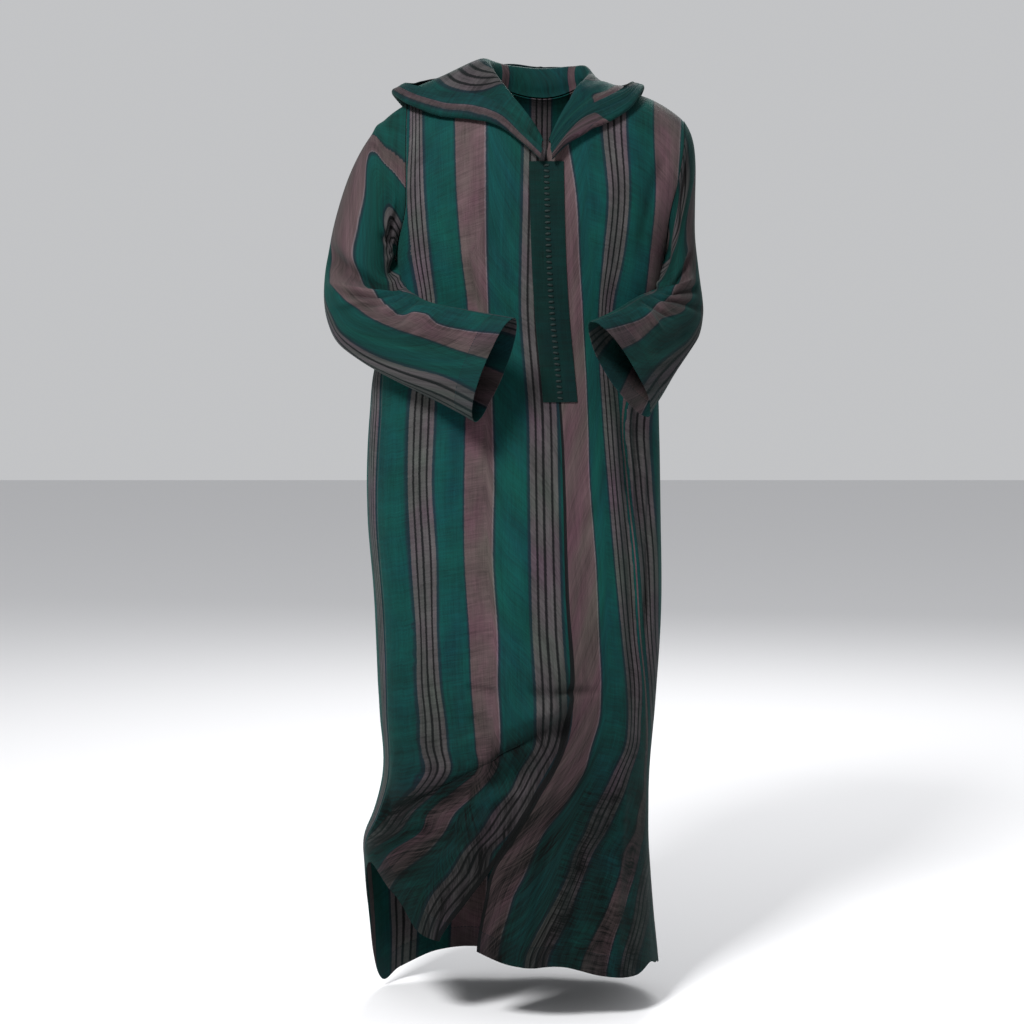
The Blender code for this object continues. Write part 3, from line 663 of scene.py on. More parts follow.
# Floor and lights: name, place, aim, size, watts
FLOOR_REACH = 14.0
FLOOR_HEIGHT = -1.484
FLOOR_COLOUR = (0.72, 0.72, 0.73, 1.0)
LIGHTS = (
    ("key", (-1.5, -3.2, 2.2), (0.0, 0.0, -0.5), 0.9, 330.0),
    ("fill", (2.8, -2.6, 0.6), (0.0, 0.0, -0.7), 2.0, 10.0),
    ("rim", (0.6, 3.2, 1.8), (0.0, 0.0, -0.6), 1.6, 100.0),
)


def columns(table):
    """The table's columns as arrays, lowest first value first."""
    rows = np.array(table, dtype=float)
    if rows[0, 0] > rows[-1, 0]:
        rows = rows[::-1]
    return rows.T


def smooth(knots, values, at):
    """A cubic curve through the values, level past both ends."""
    slopes = np.gradient(values, knots)
    at = np.clip(at, knots[0], knots[-1])
    index = np.clip(np.searchsorted(knots, at, side="right") - 1, 0, len(knots) - 2)
    step = knots[index + 1] - knots[index]
    t = (at - knots[index]) / step
    start = (1 + 2 * t) * (1 - t) ** 2 * values[index]
    end = (3 - 2 * t) * t ** 2 * values[index + 1]
    bend = t * (1 - t) * step * ((1 - t) * slopes[index] - t * slopes[index + 1])
    return start + end + bend


def ease(t):
    """A soft step from 0 to 1."""
    t = np.clip(t, 0.0, 1.0)
    return t * t * (3 - 2 * t)


def unit(vectors):
    """The vectors at length 1."""
    return vectors / np.maximum(np.linalg.norm(vectors, axis=-1, keepdims=True), 1e-9)


def ring_sizes(z):
    """Middle, half width, front reach and back reach of the body's ring at a height."""
    height, right, left, front, back = columns(RINGS)
    right_x = smooth(height, right, z)
    left_x = smooth(height, left, z)
    middle = (right_x + left_x) / 2
    return middle, (left_x - right_x) / 2, smooth(height, front, z), smooth(height, back, z)


def shoulder_height(x):
    """Height of the shoulder line: level at the neck, rounder on the left."""
    bend = SHOULDER_BEND_LEFT * np.maximum(x - SHOULDER_BEND_X, 0.0) ** 2
    past_neck = np.maximum(np.maximum(x - NECK_LEFT, -x - NECK_RIGHT), 0.0)
    return NECK_HEIGHT - SHOULDER_SLOPE * past_neck - bend


def armhole_x(side, z):
    """Where a panel's armhole edge lies at a height."""
    height, right, left = columns(ARMHOLES)
    return smooth(height, right if side < 0 else left, z)


def angle_of(x, z):
    """Angle from the front of the point of the front half ring that has this x."""
    middle, half, _, _ = ring_sizes(z)
    share = np.clip((x - middle) / half, -1.0, 1.0)
    return np.arcsin(np.sign(share) * np.abs(share) ** (RING_POWER / 2))


def ridge(line, x, z, bow, near, far, lead, soft):
    """How strongly a fold along a line is felt at a place, from 0 to 1."""
    x0, z0, x1, z1 = line
    along_x, along_z = x1 - x0, z1 - z0
    length = math.hypot(along_x, along_z)
    share = ((x - x0) * along_x + (z - z0) * along_z) / length ** 2
    aside = ((x - x0) * along_z - (z - z0) * along_x) / length
    aside = aside - bow * 4 * np.clip(share, 0, 1) * (1 - np.clip(share, 0, 1))
    fade = ease((share + lead) / soft) * ease((1 + lead - share) / soft)
    width = np.where(aside < 0, near, far)
    return fade * np.exp(-((aside / width) ** 2))


def fold_lift(folds, x, z):
    """How far the large ridges and troughs move the cloth out at a place."""
    return sum(depth * ridge(line, x, z, 0.0, width, width, 0.10, 0.25)
               for *line, depth, width in folds)


def crease_lift(creases, x, z):
    """How far the smaller folds move the cloth out; each has its own width on each side."""
    return sum(depth * ridge(line, x, z, bow, near, far, 0.05, 0.30)
               for *line, bow, depth, near, far in creases)


def body_point(angle, z):
    """A point of the body's outer surface; the angle runs from the front, right negative."""
    middle, half, front, back = ring_sizes(z)
    sine, cosine = np.sin(angle), np.cos(angle)
    power = 2 / RING_POWER
    x = middle + half * np.sign(sine) * np.abs(sine) ** power
    depth = np.where(cosine > 0, front, back) * np.abs(cosine) ** power
    drop = np.clip((shoulder_height(x) - z) / SHOULDER_ROUND, 0.0, 1.0)
    depth = depth * np.sqrt(1 - (1 - drop) ** 2)
    facing = np.where(cosine > 0, -1.0, 1.0)
    lift = np.where(cosine > 0, fold_lift(FRONT_FOLDS, x, z), fold_lift(BACK_FOLDS, x, z))
    lift = lift * drop * np.abs(cosine) ** 0.5
    y = facing * (depth + lift + SEAM)
    return np.stack(np.broadcast_arrays(x, y, z), axis=-1)


def body_normal(angle, z):
    """Unit normal of the body's outer surface, upright along the shoulder line."""
    turn, step = NORMAL_TURN, NORMAL_STEP
    across = body_point(angle + turn, z) - body_point(angle - turn, z)
    point = body_point(angle, z)
    down = body_point(angle, z - step) - point
    normal = unit(np.cross(down, across))
    drop = shoulder_height(point[..., 0]) - point[..., 2]
    crown = (1 - ease(drop / CROWN_DROP))[..., None]
    slope = np.sign(point[..., 0]) * SHOULDER_SLOPE
    upright = unit(np.stack([slope, np.zeros_like(drop), np.ones_like(drop)], axis=-1))
    return normal * (1 - crown) + upright * crown


def armhole_angle(side, z):
    """Angle of a front's armhole edge, or of its side seam below the underarm."""
    height, right, left = columns(SIDE_SEAMS)
    seam = np.radians(smooth(height, right if side < 0 else left, z))
    cut = angle_of(armhole_x(side, z), z)
    drop = np.clip((ARMHOLE_TURN - z) / (ARMHOLE_TURN - UNDERARM), 0.0, 1.0)
    turn = 1 - np.sqrt(1 - drop ** 2)
    above = cut + (side * math.pi / 2 - cut) * turn
    return np.where(z > UNDERARM, above, seam)


def hem_height(angle):
    """Height of the hem at an angle from -280 to 80 degrees."""
    angles, heights = columns(HEM)
    return smooth(angles, heights, np.degrees(angle))


def drop_rows(top, bottom, shoulder, share):
    """Heights from the top edge to the hem, closer together over the shoulder."""
    def turn_of(drop):
        over = np.arccos(1 - np.minimum(drop, SHOULDER_ROUND) / SHOULDER_ROUND)
        return over + np.maximum(drop - SHOULDER_ROUND, 0) / SHOULDER_ROUND

    first, last = turn_of(shoulder - top), turn_of(shoulder - bottom)
    turn = first + (last - first) * share
    over = SHOULDER_ROUND * (1 - np.cos(np.minimum(turn, math.pi / 2)))
    return shoulder - over - SHOULDER_ROUND * np.maximum(turn - math.pi / 2, 0)


def neck_edge_height(x):
    """Height of a front's top edge: the V up to the neck, then the shoulder line."""
    reach = np.where(x < V_TIP_X, NECK_RIGHT + V_TIP_X, NECK_LEFT - V_TIP_X)
    share = np.clip(np.abs(x - V_TIP_X) / reach, 0.0, 1.0)
    edge = V_TIP_HEIGHT + (NECK_HEIGHT - V_TIP_HEIGHT) * share ** V_CURVE
    return np.where(share < 1, edge, shoulder_height(x))


def back_neck_height(x):
    """Height of the back's top edge: a shallow scoop, then the shoulder line."""
    share = np.clip(np.abs(x) / np.where(x < 0, NECK_RIGHT, NECK_LEFT), 0.0, 1.0)
    return np.where(share < 1, NECK_HEIGHT - NECK_SCOOP * (1 - share ** 2), shoulder_height(x))


def settled_top(edge_height, span, share):
    """The x of each column's top point, where the edge height and the spacing agree."""
    x = np.zeros_like(share)
    for _ in range(12):
        z = edge_height(x)
        first, last = span(z)
        x = body_point(first + (last - first) * share, z)[..., 0]
    return x


def armhole_ring(side, turns):
    """The armhole's edge: shoulder tip at turn 0, front at a quarter, underarm at a half."""
    tip = shoulder_height(armhole_x(side, 0.0))
    z = (tip + UNDERARM) / 2 + (tip - UNDERARM) / 2 * np.cos(turns)
    angle = armhole_angle(side, np.maximum(z, UNDERARM + 1e-6))
    front = np.sin(turns) >= 0
    angle = np.where(front, angle, side * math.pi - angle)
    return body_point(angle, z) + np.array([side * ARMHOLE_SEAM, 0.0, 0.0])


def clear_of_side(points):
    """Points pushed out from the body's upright axis until they lie clear of its side."""
    x, y, z = points[..., 0], points[..., 1], points[..., 2]
    middle, half, front, back = ring_sizes(z)
    depth = np.where(y < 0, front, back) + SIDE_REST
    across = np.abs(x - middle) / (half + SIDE_REST)
    level = across ** RING_POWER + np.abs(y / depth) ** RING_POWER
    grow = np.maximum(np.maximum(level, 0.01) ** (-1 / RING_POWER), 1.0)
    return np.stack([middle + (x - middle) * grow, y * grow, z], axis=-1)


def neckline_point(place):
    """The neck edge: V tip at 0, right of the neck at 1, back at 2, left at 3, V tip at 4."""
    place = np.asarray(place, dtype=float)
    right_x = V_TIP_X - (NECK_RIGHT + V_TIP_X) * np.minimum(place, 1.0)
    left_x = V_TIP_X + (NECK_LEFT - V_TIP_X) * np.minimum(4.0 - place, 1.0)
    round_back = np.cos(np.clip(place - 1.0, 0.0, 2.0) * math.pi / 2)
    back_x = -round_back * np.where(round_back > 0, NECK_RIGHT, NECK_LEFT)
    x = np.where(place <= 1.0, right_x, np.where(place >= 3.0, left_x, back_x))
    behind = (place > 1.0) & (place < 3.0)
    z = np.where(behind, back_neck_height(x), neck_edge_height(x))
    front_angle = angle_of(x, z)
    angle = np.where(behind, math.pi - front_angle, front_angle)
    return body_point(angle, z)


def body_gap(points):
    """How far points lie outside the shoulders, chest and back, and the way out there."""
    x, y, z = points[..., 0], points[..., 1], points[..., 2]
    middle, half, front, back = ring_sizes(z)
    share = np.clip(np.abs((x - middle) / half), 0.0, 0.97)
    reach = np.where(y < 0, front, back) * (1 - share ** RING_POWER) ** (1 / RING_POWER)
    rise = np.maximum(1 - (shoulder_height(x) - z) / SHOULDER_ROUND, 0.0)
    level = (y / reach) ** 2 + rise ** 2 - 1
    slope = rise * SHOULDER_SLOPE * np.sign(x) / SHOULDER_ROUND
    way = np.stack([slope, y / reach ** 2, rise / SHOULDER_ROUND], axis=-1)
    steep = np.linalg.norm(way, axis=-1)
    return level / (2 * steep), way / steep[..., None]


def clear_of_body(points, rest):
    """Points moved out from the shoulders, chest and back until they lie clear."""
    for _ in range(4):
        gap, way = body_gap(points)
        points = points + way * np.maximum(rest + SEAM - gap, 0.0)[..., None]
    return points


def along_curve(share, knots, curve):
    """Points of a curve at shares of its length."""
    return np.stack([np.interp(share, knots, curve[:, axis]) for axis in range(3)], axis=-1)


def grid_normals(grid):
    """Unit normals of an open grid of points, pointing away from its inner side."""
    down = np.gradient(grid, axis=0, edge_order=2)
    across = np.gradient(grid, axis=1, edge_order=2)
    return unit(np.cross(across, down))


def lengths_along(grid, axis):
    """Length of cloth from the first line of points, along rows or columns."""
    steps = np.linalg.norm(np.diff(grid, axis=axis), axis=-1)
    start = np.zeros_like(np.take(steps, [0], axis=axis))
    return np.concatenate([start, np.cumsum(steps, axis=axis)], axis=axis)


def even_out(values, window):
    """A running mean, level past both ends."""
    padded = np.pad(values, window // 2, mode="edge")
    return np.convolve(padded, np.full(window, 1 / window), mode="valid")


def hood_grid(rows, under_cells, turn_cells, over_cells):
    """Outer points of the hood: rows round the neck, columns from the seam to the rim.

    A lower layer lies on the shoulders and back, turns in a round fold, and comes back
    over itself as an upper layer that ends at the free rim.
    """
    table = np.array(HOOD)
    knots = np.linspace(0, 1, len(table))
    at = np.linspace(0, 1, rows + 1)
    place, stand, *ends = (smooth(knots, table[:, column], at) for column in range(8))
    fold, rim = np.stack(ends[:3], axis=-1), np.stack(ends[3:], axis=-1)
    seam = neckline_point(place)
    outward = unit((fold - seam) * np.array([1.0, 1.0, 0.0]))
    up = np.array([0.0, 0.0, 1.0])
    roll = np.linalg.norm(fold - seam, axis=1) * HOOD_ROLL_SHARE
    roll = np.clip(roll, HOOD_ROLL_LEAST, HOOD_ROLL)
    start = seam + up * HOOD_REST * HOOD_START_REST
    top = seam + up * (stand[:, None] + HOOD_REST) + outward * HOOD_REST
    end = fold + unit(seam - fold) * roll[:, None]
    low = seam + up * (stand[:, None] * HOOD_LOW_STAND + HOOD_REST * HOOD_LOW_REST)
    top = top + outward * stand[:, None] * HOOD_LEAN
    stages = np.stack([start, low, top, (top + end) / 2, end], axis=1)
    fine = np.linspace(0, 1, HOOD_FINE + 1)
    steps = np.array(HOOD_STAGES)
    lower = np.empty((len(at), len(fine), 3))
    for row in range(len(at)):
        for axis in range(3):
            lower[row, :, axis] = smooth(steps, stages[row, :, axis], fine)
    behind = ease(fold[:, 1] / HOOD_BEHIND)
    lower[:, 1:] = clear_of_body(lower[:, 1:], HOOD_REST * (1 + behind[:, None]))
    _, way = body_gap(lower)

    # Where the rim lies over the lower layer, made even from row to row
    far = np.linalg.norm(rim[:, None] - lower, axis=2)
    within = far[:, HOOD_RIM_FIRST:HOOD_RIM_LAST + 1]
    nearest = even_out(fine[np.argmin(within, axis=1) + HOOD_RIM_FIRST], rows // 16 * 2 + 1)

    grid = np.empty((len(at), under_cells + turn_cells + over_cells + 1, 3))
    for row in range(len(at)):
        def lower_at(share, curve=lower[row]):
            return along_curve(share, fine, curve)

        def way_at(share, curve=way[row]):
            return unit(along_curve(share, fine, curve))

        under = lower_at(np.linspace(0, 1, under_cells + 1))
        last, out = under[-1], way_at(1.0)
        along = last - lower_at(HOOD_FOLD_START)
        along = unit(along - out * (along @ out))
        turn = np.linspace(0, math.pi, turn_cells + 1)[1:, None]
        bend = last + out * roll[row] + roll[row] * (np.sin(turn) * along - np.cos(turn) * out)
        share = np.linspace(1, nearest[row], over_cells + 1)[1:]
        apart = rim[row] - lower_at(nearest[row])
        rim_way = way_at(nearest[row])
        lift = max(apart @ rim_way, 2 * roll[row])
        aside = apart - rim_way * (apart @ rim_way)
        blend = ease((1 - share) / (1 - nearest[row]))[:, None]
        swell = np.sin(math.pi * (1 - share) / (1 - nearest[row]))[:, None]
        puff = HOOD_PUFF * behind[row] * swell
        height = 2 * roll[row] * (1 - blend) + lift * blend + puff
        over = lower_at(share) + way_at(share) * height + aside * blend
        grid[row] = np.concatenate([under, bend, over])
    return grid


def chance(u, v, cell_u, cell_v, seed):
    """Smooth noise from -1 to 1 over two lengths, the same on each run."""
    u, v = np.broadcast_arrays(u / cell_u, v / cell_v)
    lattice = np.random.default_rng(seed).uniform(-1, 1, (LATTICE, LATTICE))
    column, row = np.floor(u).astype(int), np.floor(v).astype(int)
    across, down = ease(u - column), ease(v - row)
    left, right = column % LATTICE, (column + 1) % LATTICE
    upper = lattice[left, row % LATTICE] * (1 - across) + lattice[right, row % LATTICE] * across
    lower_row = (row + 1) % LATTICE
    lower = lattice[left, lower_row] * (1 - across) + lattice[right, lower_row] * across
    return upper * (1 - down) + lower * down


def wrinkles(u, v, offset):
    """The sum of the chance wrinkles; the offset keeps pieces from being alike."""
    return sum(depth * chance(u + offset, v + offset, across, down, seed)
               for across, down, depth, seed in WRINKLES)


def detail(creases, offset, x, z):
    """Small folds and wrinkles of a panel at a place."""
    loose = ease((LOOSENESS_FROM - z) / LOOSENESS_REACH)
    looseness = LOOSENESS_LEAST + (1 - LOOSENESS_LEAST) * loose
    return crease_lift(creases, x, z) + wrinkles(x, z, offset) * looseness


def painted_height_shade(z):
    """Painted shade of the fronts at a height; the skirt is painted darker."""
    heights, tones = columns(HEIGHT_PAINTED_SHADE)
    return smooth(heights, tones, z)


def painted_fold_shade(lift):
    """Painted shade down in a fold and a painted highlight on a ridge."""
    return np.clip(1 + PAINTED_FOLD_SHADE * lift, PAINTED_FOLD_SHADE_LEAST, PAINTED_FOLD_SHADE_MOST)


def seen(points):
    """Where points are seen from the eye, on the upright plane through the neck."""
    reach = -EYE[1] / (points[..., 1] - EYE[1])
    x = EYE[0] + (points[..., 0] - EYE[0]) * reach
    z = EYE[2] + (points[..., 2] - EYE[2]) * reach
    return x, z


def between_edges(at, edges, places):
    """Place across the cloth between stripe edges, which all lie along one measure."""
    place = 0.0
    for edge, after, start, end in zip(edges, edges[1:], places, places[1:]):
        place = place + np.clip((at - edge) / (after - edge), 0, 1) * (end - start)
    return place


def stripe_place(grid, table, places, side):
    """Place across the cloth at each point of a front, its columns from the centre seam."""
    rows = np.array(table)
    x, z = seen(grid)
    lines = [smooth(rows[:, 0], rows[:, column], z) for column in range(1, rows.shape[1])]
    place = places[0] + np.minimum(x - lines[0], 0) + between_edges(x, lines, places)
    place = place + np.maximum(x - lines[-1], 0)

    # From the outermost edge, or where the cloth turns out of sight, on to the side seam
    last = lines[-1] if side > 0 else lines[0]
    length = lengths_along(grid, 1)
    turn_length, turn_place = [], []
    for row in range(grid.shape[0]):
        column = int(np.argmax(side * x[row]))
        past = np.nonzero(side * (x[row] - last[row]) > 0)[0]
        column = min(column, past[0]) if len(past) else column
        turn_length.append(length[row, column])
        turn_place.append(place[row, column])
    turn_length, turn_place = (even_out(values, SIDE_SMOOTHING)[:, None]
                               for values in (turn_length, turn_place))
    share = (length - turn_length) / np.maximum(length[:, -1:] - turn_length, 0.001)
    to_seam = turn_place + (SEAM_PLACE[side] - turn_place) * share
    return np.where(share > 0, to_seam, place)


def sleeve_place(grid, table, at, turns):
    """Place across the cloth at each point of a sleeve, from its stripe edges."""
    rows = np.array(table, dtype=float)
    edges = [smooth(rows[:, 0] / 100, rows[:, column], at)[:, None] for column in range(1, 7)]
    per_degree = lengths_along(grid, 1)[:, -1:] / 360
    degrees = np.degrees(turns)[None, :]
    place = SLEEVE_PLACES[0] + between_edges(degrees, edges, SLEEVE_PLACES)
    outside = np.minimum(degrees - edges[0], 0) + np.maximum(degrees - edges[-1], 0)
    return place + outside * per_degree


def edge_ditch(distance):
    """How deep the cloth is drawn in by a seam at a distance from it."""
    return -SEAM_DITCH * np.exp(-((distance / SEAM_DITCH_WIDTH) ** 2))


def panel_net(edge_height, span, hem_span, share, rows):
    """Angles and heights of a panel's points, from its top edge down to the hem."""
    top_x = settled_top(edge_height, span, share)
    first, last = hem_span
    bottom = hem_height(first + (last - first) * share)
    z = drop_rows(edge_height(top_x), bottom, shoulder_height(top_x), rows)
    start, end = span(z)
    return start + (end - start) * share, z


def panel(angle, z, creases, offset, both_sides):
    """Base points, normals and lengths of a panel, the lift of its folds and attributes."""
    base, normal = body_point(angle, z), body_normal(angle, z)
    along, downward = lengths_along(base, 1), lengths_along(base, 0)
    to_side = along[:, -1:] - along
    if both_sides:
        to_side = np.minimum(along, to_side)
    taper = ease(to_side / EDGE_TAPER) * ease(downward / EDGE_TAPER)
    lift = detail(creases, offset, base[..., 0], base[..., 2]) * taper
    # Painted shade down in folds and painted highlight on ridges, from the lift
    facts = {"along": downward, "to_hem": downward[-1:] - downward, "to_side": to_side,
             "painted_shade_and_dye": painted_fold_shade(lift)}
    return base, normal, along, lift, facts


def fine_front(side):
    """Outer points, inner points and attributes of a front."""
    down, across = FRONT_CELLS
    height, right_edge, left_edge = columns(CENTRE_FRONT)
    edge = right_edge if side < 0 else left_edge

    def span(z):
        centre = angle_of(smooth(height, edge, z), z) + side * SEAM_TURN
        return centre, armhole_angle(side, z) - side * SEAM_TURN

    hem_span = (angle_of(smooth(height, edge, HEM_CENTRE[side]), HEM_CENTRE[side]),
                armhole_angle(side, np.array(HEM_SIDE_RIGHT)))
    share = np.linspace(0, 1, across + 1)[None, :]
    rows = np.interp(np.linspace(0, 1, down + 1), ROW_PLACES, ROW_SHARES)[:, None]
    angle, z = panel_net(neck_edge_height, span, hem_span, share, rows)
    base, normal, to_centre, lift, facts = panel(angle, z, FRONT_CREASES, FRONT_OFFSET, False)

    sewn = ease((base[..., 2] - SLIT_TOP) / SLIT_BLEND)
    lift = lift + edge_ditch(to_centre) * sewn + edge_ditch(facts["to_side"])
    points = base + normal * lift[..., None]
    table, places = (STRIPES_RIGHT, PLACES_RIGHT) if side < 0 else (STRIPES_LEFT, PLACES_LEFT)
    facts["place"] = stripe_place(points, table, places, side)
    # The painted seam shadow is narrower on the left front
    facts["to_centre"] = to_centre * (SEAM_SHADOW_WIDTH / SEAM_SHADOW_WIDTH_LEFT if side > 0 else 1.0)
    # Painted shade: the fronts darker towards the hem
    facts["painted_shade_and_dye"] = facts["painted_shade_and_dye"] * painted_height_shade(points[..., 2])
    return points, points - normal * CLOTH, facts


def fine_back():
    """Outer points, inner points and attributes of the back, from the right to the left."""
    down, across = BACK_CELLS

    def span(z):
        above = z > UNDERARM
        right, left = armhole_angle(-1, z), armhole_angle(1, z)
        right = np.where(above, -math.pi - right, right)
        left = np.where(above, math.pi - left, left)
        return right, left - 2 * math.pi

    hem_span = (armhole_angle(-1, np.array(HEM_SIDE_RIGHT)),
                armhole_angle(1, np.array(HEM_SIDE_LEFT)) - 2 * math.pi)
    share, rows = np.linspace(0, 1, across + 1)[None, :], np.linspace(0, 1, down + 1)[:, None]
    angle, z = panel_net(back_neck_height, span, hem_span, share, rows)
    base, normal, along, lift, facts = panel(angle, z, BACK_CREASES, BACK_OFFSET, True)
    points = base + normal * (lift + edge_ditch(facts["to_side"]))[..., None]

    # Place across the cloth, from the middle of the back to each side seam
    place = np.empty(z.shape)
    edge_row = int(np.argmin(np.abs(z[:, 0] - BACK_EDGE_FROM)))
    for row in range(z.shape[0]):
        middle = np.interp(0.0, base[row, :, 0], along[row])
        used = max(row, edge_row)
        middle_used = np.interp(0.0, base[used, :, 0], along[used])
        right_scale = BACK_EDGE / middle_used
        left_scale = BACK_EDGE / (along[used, -1] - middle_used)
        away = along[row] - middle
        place[row] = BACK_MIDDLE + away * np.where(away < 0, right_scale, left_scale)
    facts["place"] = place
    return points, points - normal * CLOTH, facts


def sleeve_base(side, table, turns_even, at):
    """The sleeve's tube without its small folds: rows to the cuff, columns round it."""
    rings = [armhole_ring(side, turns_even + UNDERARM_CROWD * np.sin(turns_even))]
    for number, row in enumerate(np.array(table), start=1):
        crowd = UNDERARM_CROWD * max(1 - (number / CROWDED_SECTIONS) ** 2, 0.0)
        turns = turns_even + crowd * np.sin(turns_even)
        outer, inner, depth, facing = row[0:3], row[3:6], row[6], math.radians(row[7])
        deep_axis = np.array([math.sin(facing), -math.cos(facing), 0.0]) * depth
        ring = np.outer(np.cos(turns), (outer - inner) / 2) + np.outer(np.sin(turns), deep_axis)
        rings.append((outer + inner) / 2 + ring)
    rings = np.array(rings)
    knots = np.linspace(0, 1, len(rings))
    coarse = np.linspace(0, 1, SLEEVE_COARSE_ROWS + 1)
    grid = np.empty((len(at), len(turns_even), 3))
    for column in range(len(turns_even)):
        for axis in range(3):
            line = smooth(knots, rings[:, column, axis], coarse)
            for _ in range(2):
                line[1:-1] = (line[:-2] + 2 * line[1:-1] + line[2:]) / 4
            grid[:, column, axis] = smooth(coarse, line, at)
    below = ease((UNDERARM + SIDE_BLEND / 2 - grid[..., 2:3]) / SIDE_BLEND)
    return grid + (clear_of_side(grid) - grid) * below


def fine_sleeve(side, table, stripes, creases):
    """Outer points, inner points and attributes of a sleeve, open along its underarm seam."""
    along_cells, around_cells = SLEEVE_CELLS
    turns = np.linspace(-math.pi, math.pi, around_cells + 1)
    at = np.linspace(0, 1, along_cells + 1)
    grid = sleeve_base(side, table, turns, at)

    # Normals of the tube, the same on both sides of the seam
    down = np.gradient(grid, axis=0)
    around = np.empty_like(grid)
    around[:, 1:-1] = grid[:, 2:] - grid[:, :-2]
    around[:, 0] = around[:, -1] = grid[:, 1] - grid[:, -2]
    normal = unit(np.cross(around, down)) * side
    normal[0, :, 0] = 0.0
    normal = unit(normal)

    # Folds are laid out on the flat cloth: length round the sleeve, length along it
    round_length, along_length = turns[None, :] * SLEEVE_RADIUS, at[:, None] * SLEEVE_LENGTH
    flat = np.array(creases, dtype=float)
    flat[:, (0, 2)] = np.radians(flat[:, (0, 2)]) * SLEEVE_RADIUS
    flat[:, (1, 3)] = flat[:, (1, 3)] / 100 * SLEEVE_LENGTH
    flat[:, 4:] /= 1000
    length = lengths_along(grid, 0)
    to_seam = np.broadcast_to((math.pi - np.abs(turns))[None, :] * SLEEVE_RADIUS, length.shape)
    taper = ease(length / EDGE_TAPER) * ease(to_seam / SLEEVE_SEAM_TAPER)
    lift = crease_lift(flat, round_length, along_length)
    chance_lift = wrinkles(round_length, along_length, SLEEVE_OFFSET + side) * SLEEVE_WRINKLES
    lift = (lift + chance_lift) * taper
    points = grid + normal * lift[..., None]
    # Painted shade: the sleeves darker, with painted shade and highlight by the lift of their
    # folds
    facts = {"place": sleeve_place(grid, stripes, at, turns), "along": length,
             "to_hem": length[-1:] - length, "to_side": to_seam,
             "painted_shade_and_dye": SLEEVE_PAINTED_SHADE[side] * painted_fold_shade(lift)}
    return points, points - normal * CLOTH, facts


def fine_hood():
    """Outer points, inner points and attributes of the hood."""
    rows, under_cells, turn_cells, _ = HOOD_CELLS
    grid = hood_grid(*HOOD_CELLS)
    normal = grid_normals(grid)
    table = np.array(HOOD)
    at = np.linspace(0, 1, rows + 1)
    station = smooth(np.linspace(0, 1, len(table)), table[:, 0], at)
    stripes = np.array(HOOD_STRIPES)
    at_seam, at_fold, above, half, middle, at_rim = (
        smooth(stripes[:, 0], stripes[:, column], station)[:, None] for column in range(1, 7))

    # Lengths from the fold; the stripe over it is flanked by cloth to the seam and the rim
    length = lengths_along(grid, 1)
    fold = under_cells + turn_cells // 2
    from_fold = length - length[:, fold:fold + 1]
    over = from_fold[:, -1:]
    past = from_fold - np.minimum(above, HOOD_STRIPE_REACH * over)
    near = np.clip(past / half, -1, 1)
    share = np.clip((past - half) / (past[:, -1:] - half), 0, 1)
    back = np.clip((past + half) / (past[:, :1] + half), 0, 1)
    start = at_fold + WIDE_HALF
    rise = np.where(share < 0.5, start + (middle - start) * share * 2,
                    middle + (at_rim - middle) * (share * 2 - 1))
    under = (at_fold - WIDE_HALF) * (1 - back) + at_seam * back
    place = np.where(past > half, rise, np.where(past < -half, under, at_fold + near * WIDE_HALF))
    around = lengths_along(grid, 0)
    taper = ease(length / HOOD_SEAM_TAPER) * ease(over / HOOD_OVER_TAPER)
    points = grid + normal * (wrinkles(around, length, HOOD_OFFSET) * taper)[..., None]
    # Painted shade: the hood darker all over
    facts = {"place": place, "along": around, "to_hem": length[:, -1:] - length,
             "painted_shade_and_dye": HOOD_PAINTED_SHADE}
    return points, points - normal * CLOTH, facts


def placket_points(lift):
    """Points of the band at a height over the fronts."""
    down, across = PLACKET_CELLS
    height, right_edge, _ = columns(CENTRE_FRONT)
    z = np.linspace(PLACKET_TOP, PLACKET_END, down + 1)[:, None]
    aside = np.linspace(-0.5, 0.5, across + 1)[None, :] * PLACKET_WIDTH
    x = smooth(height, right_edge, z) + aside
    angle = angle_of(x, z)
    below_top = ease((PLACKET_TOP + BAND_FLAT - z) / BAND_FLAT_BLEND)
    under = detail(FRONT_CREASES, FRONT_OFFSET, x, z) * below_top
    edge = BAND_EDGE * ease(np.abs(aside) / (PLACKET_WIDTH / 2) * 6 - 5)
    raised = body_normal(angle, z) * (lift + under - edge)[..., None]
    return body_point(angle, z) + raised, aside


def fine_placket():
    """Outer points, inner points and attributes of the band."""
    outer, aside = placket_points(BAND_HEIGHT)
    inner, _ = placket_points(BAND_UNDER)
    length = lengths_along(outer, 0)
    facts = {"place": aside, "along": length, "to_hem": length[-1:] - length,
             "to_side": PLACKET_WIDTH / 2 - np.abs(aside)}
    return outer, inner, facts


def put(name, data):
    """An object with this data, in the scene."""
    thing = bpy.data.objects.new(name, data)
    bpy.context.collection.objects.link(thing)
    return thing


def smooth_piece(name, points, faces, weld=0.0):
    """A smooth closed mesh, as an object in the scene."""
    mesh = bpy.data.meshes.new(name)
    mesh.from_pydata(points, [], faces)
    shape = bmesh.new()
    shape.from_mesh(mesh)
    if weld:
        bmesh.ops.remove_doubles(shape, verts=shape.verts, dist=weld)
    bmesh.ops.recalc_face_normals(shape, faces=shape.faces)
    shape.to_mesh(mesh)
    shape.free()
    mesh.shade_smooth()
    return put(name, mesh)


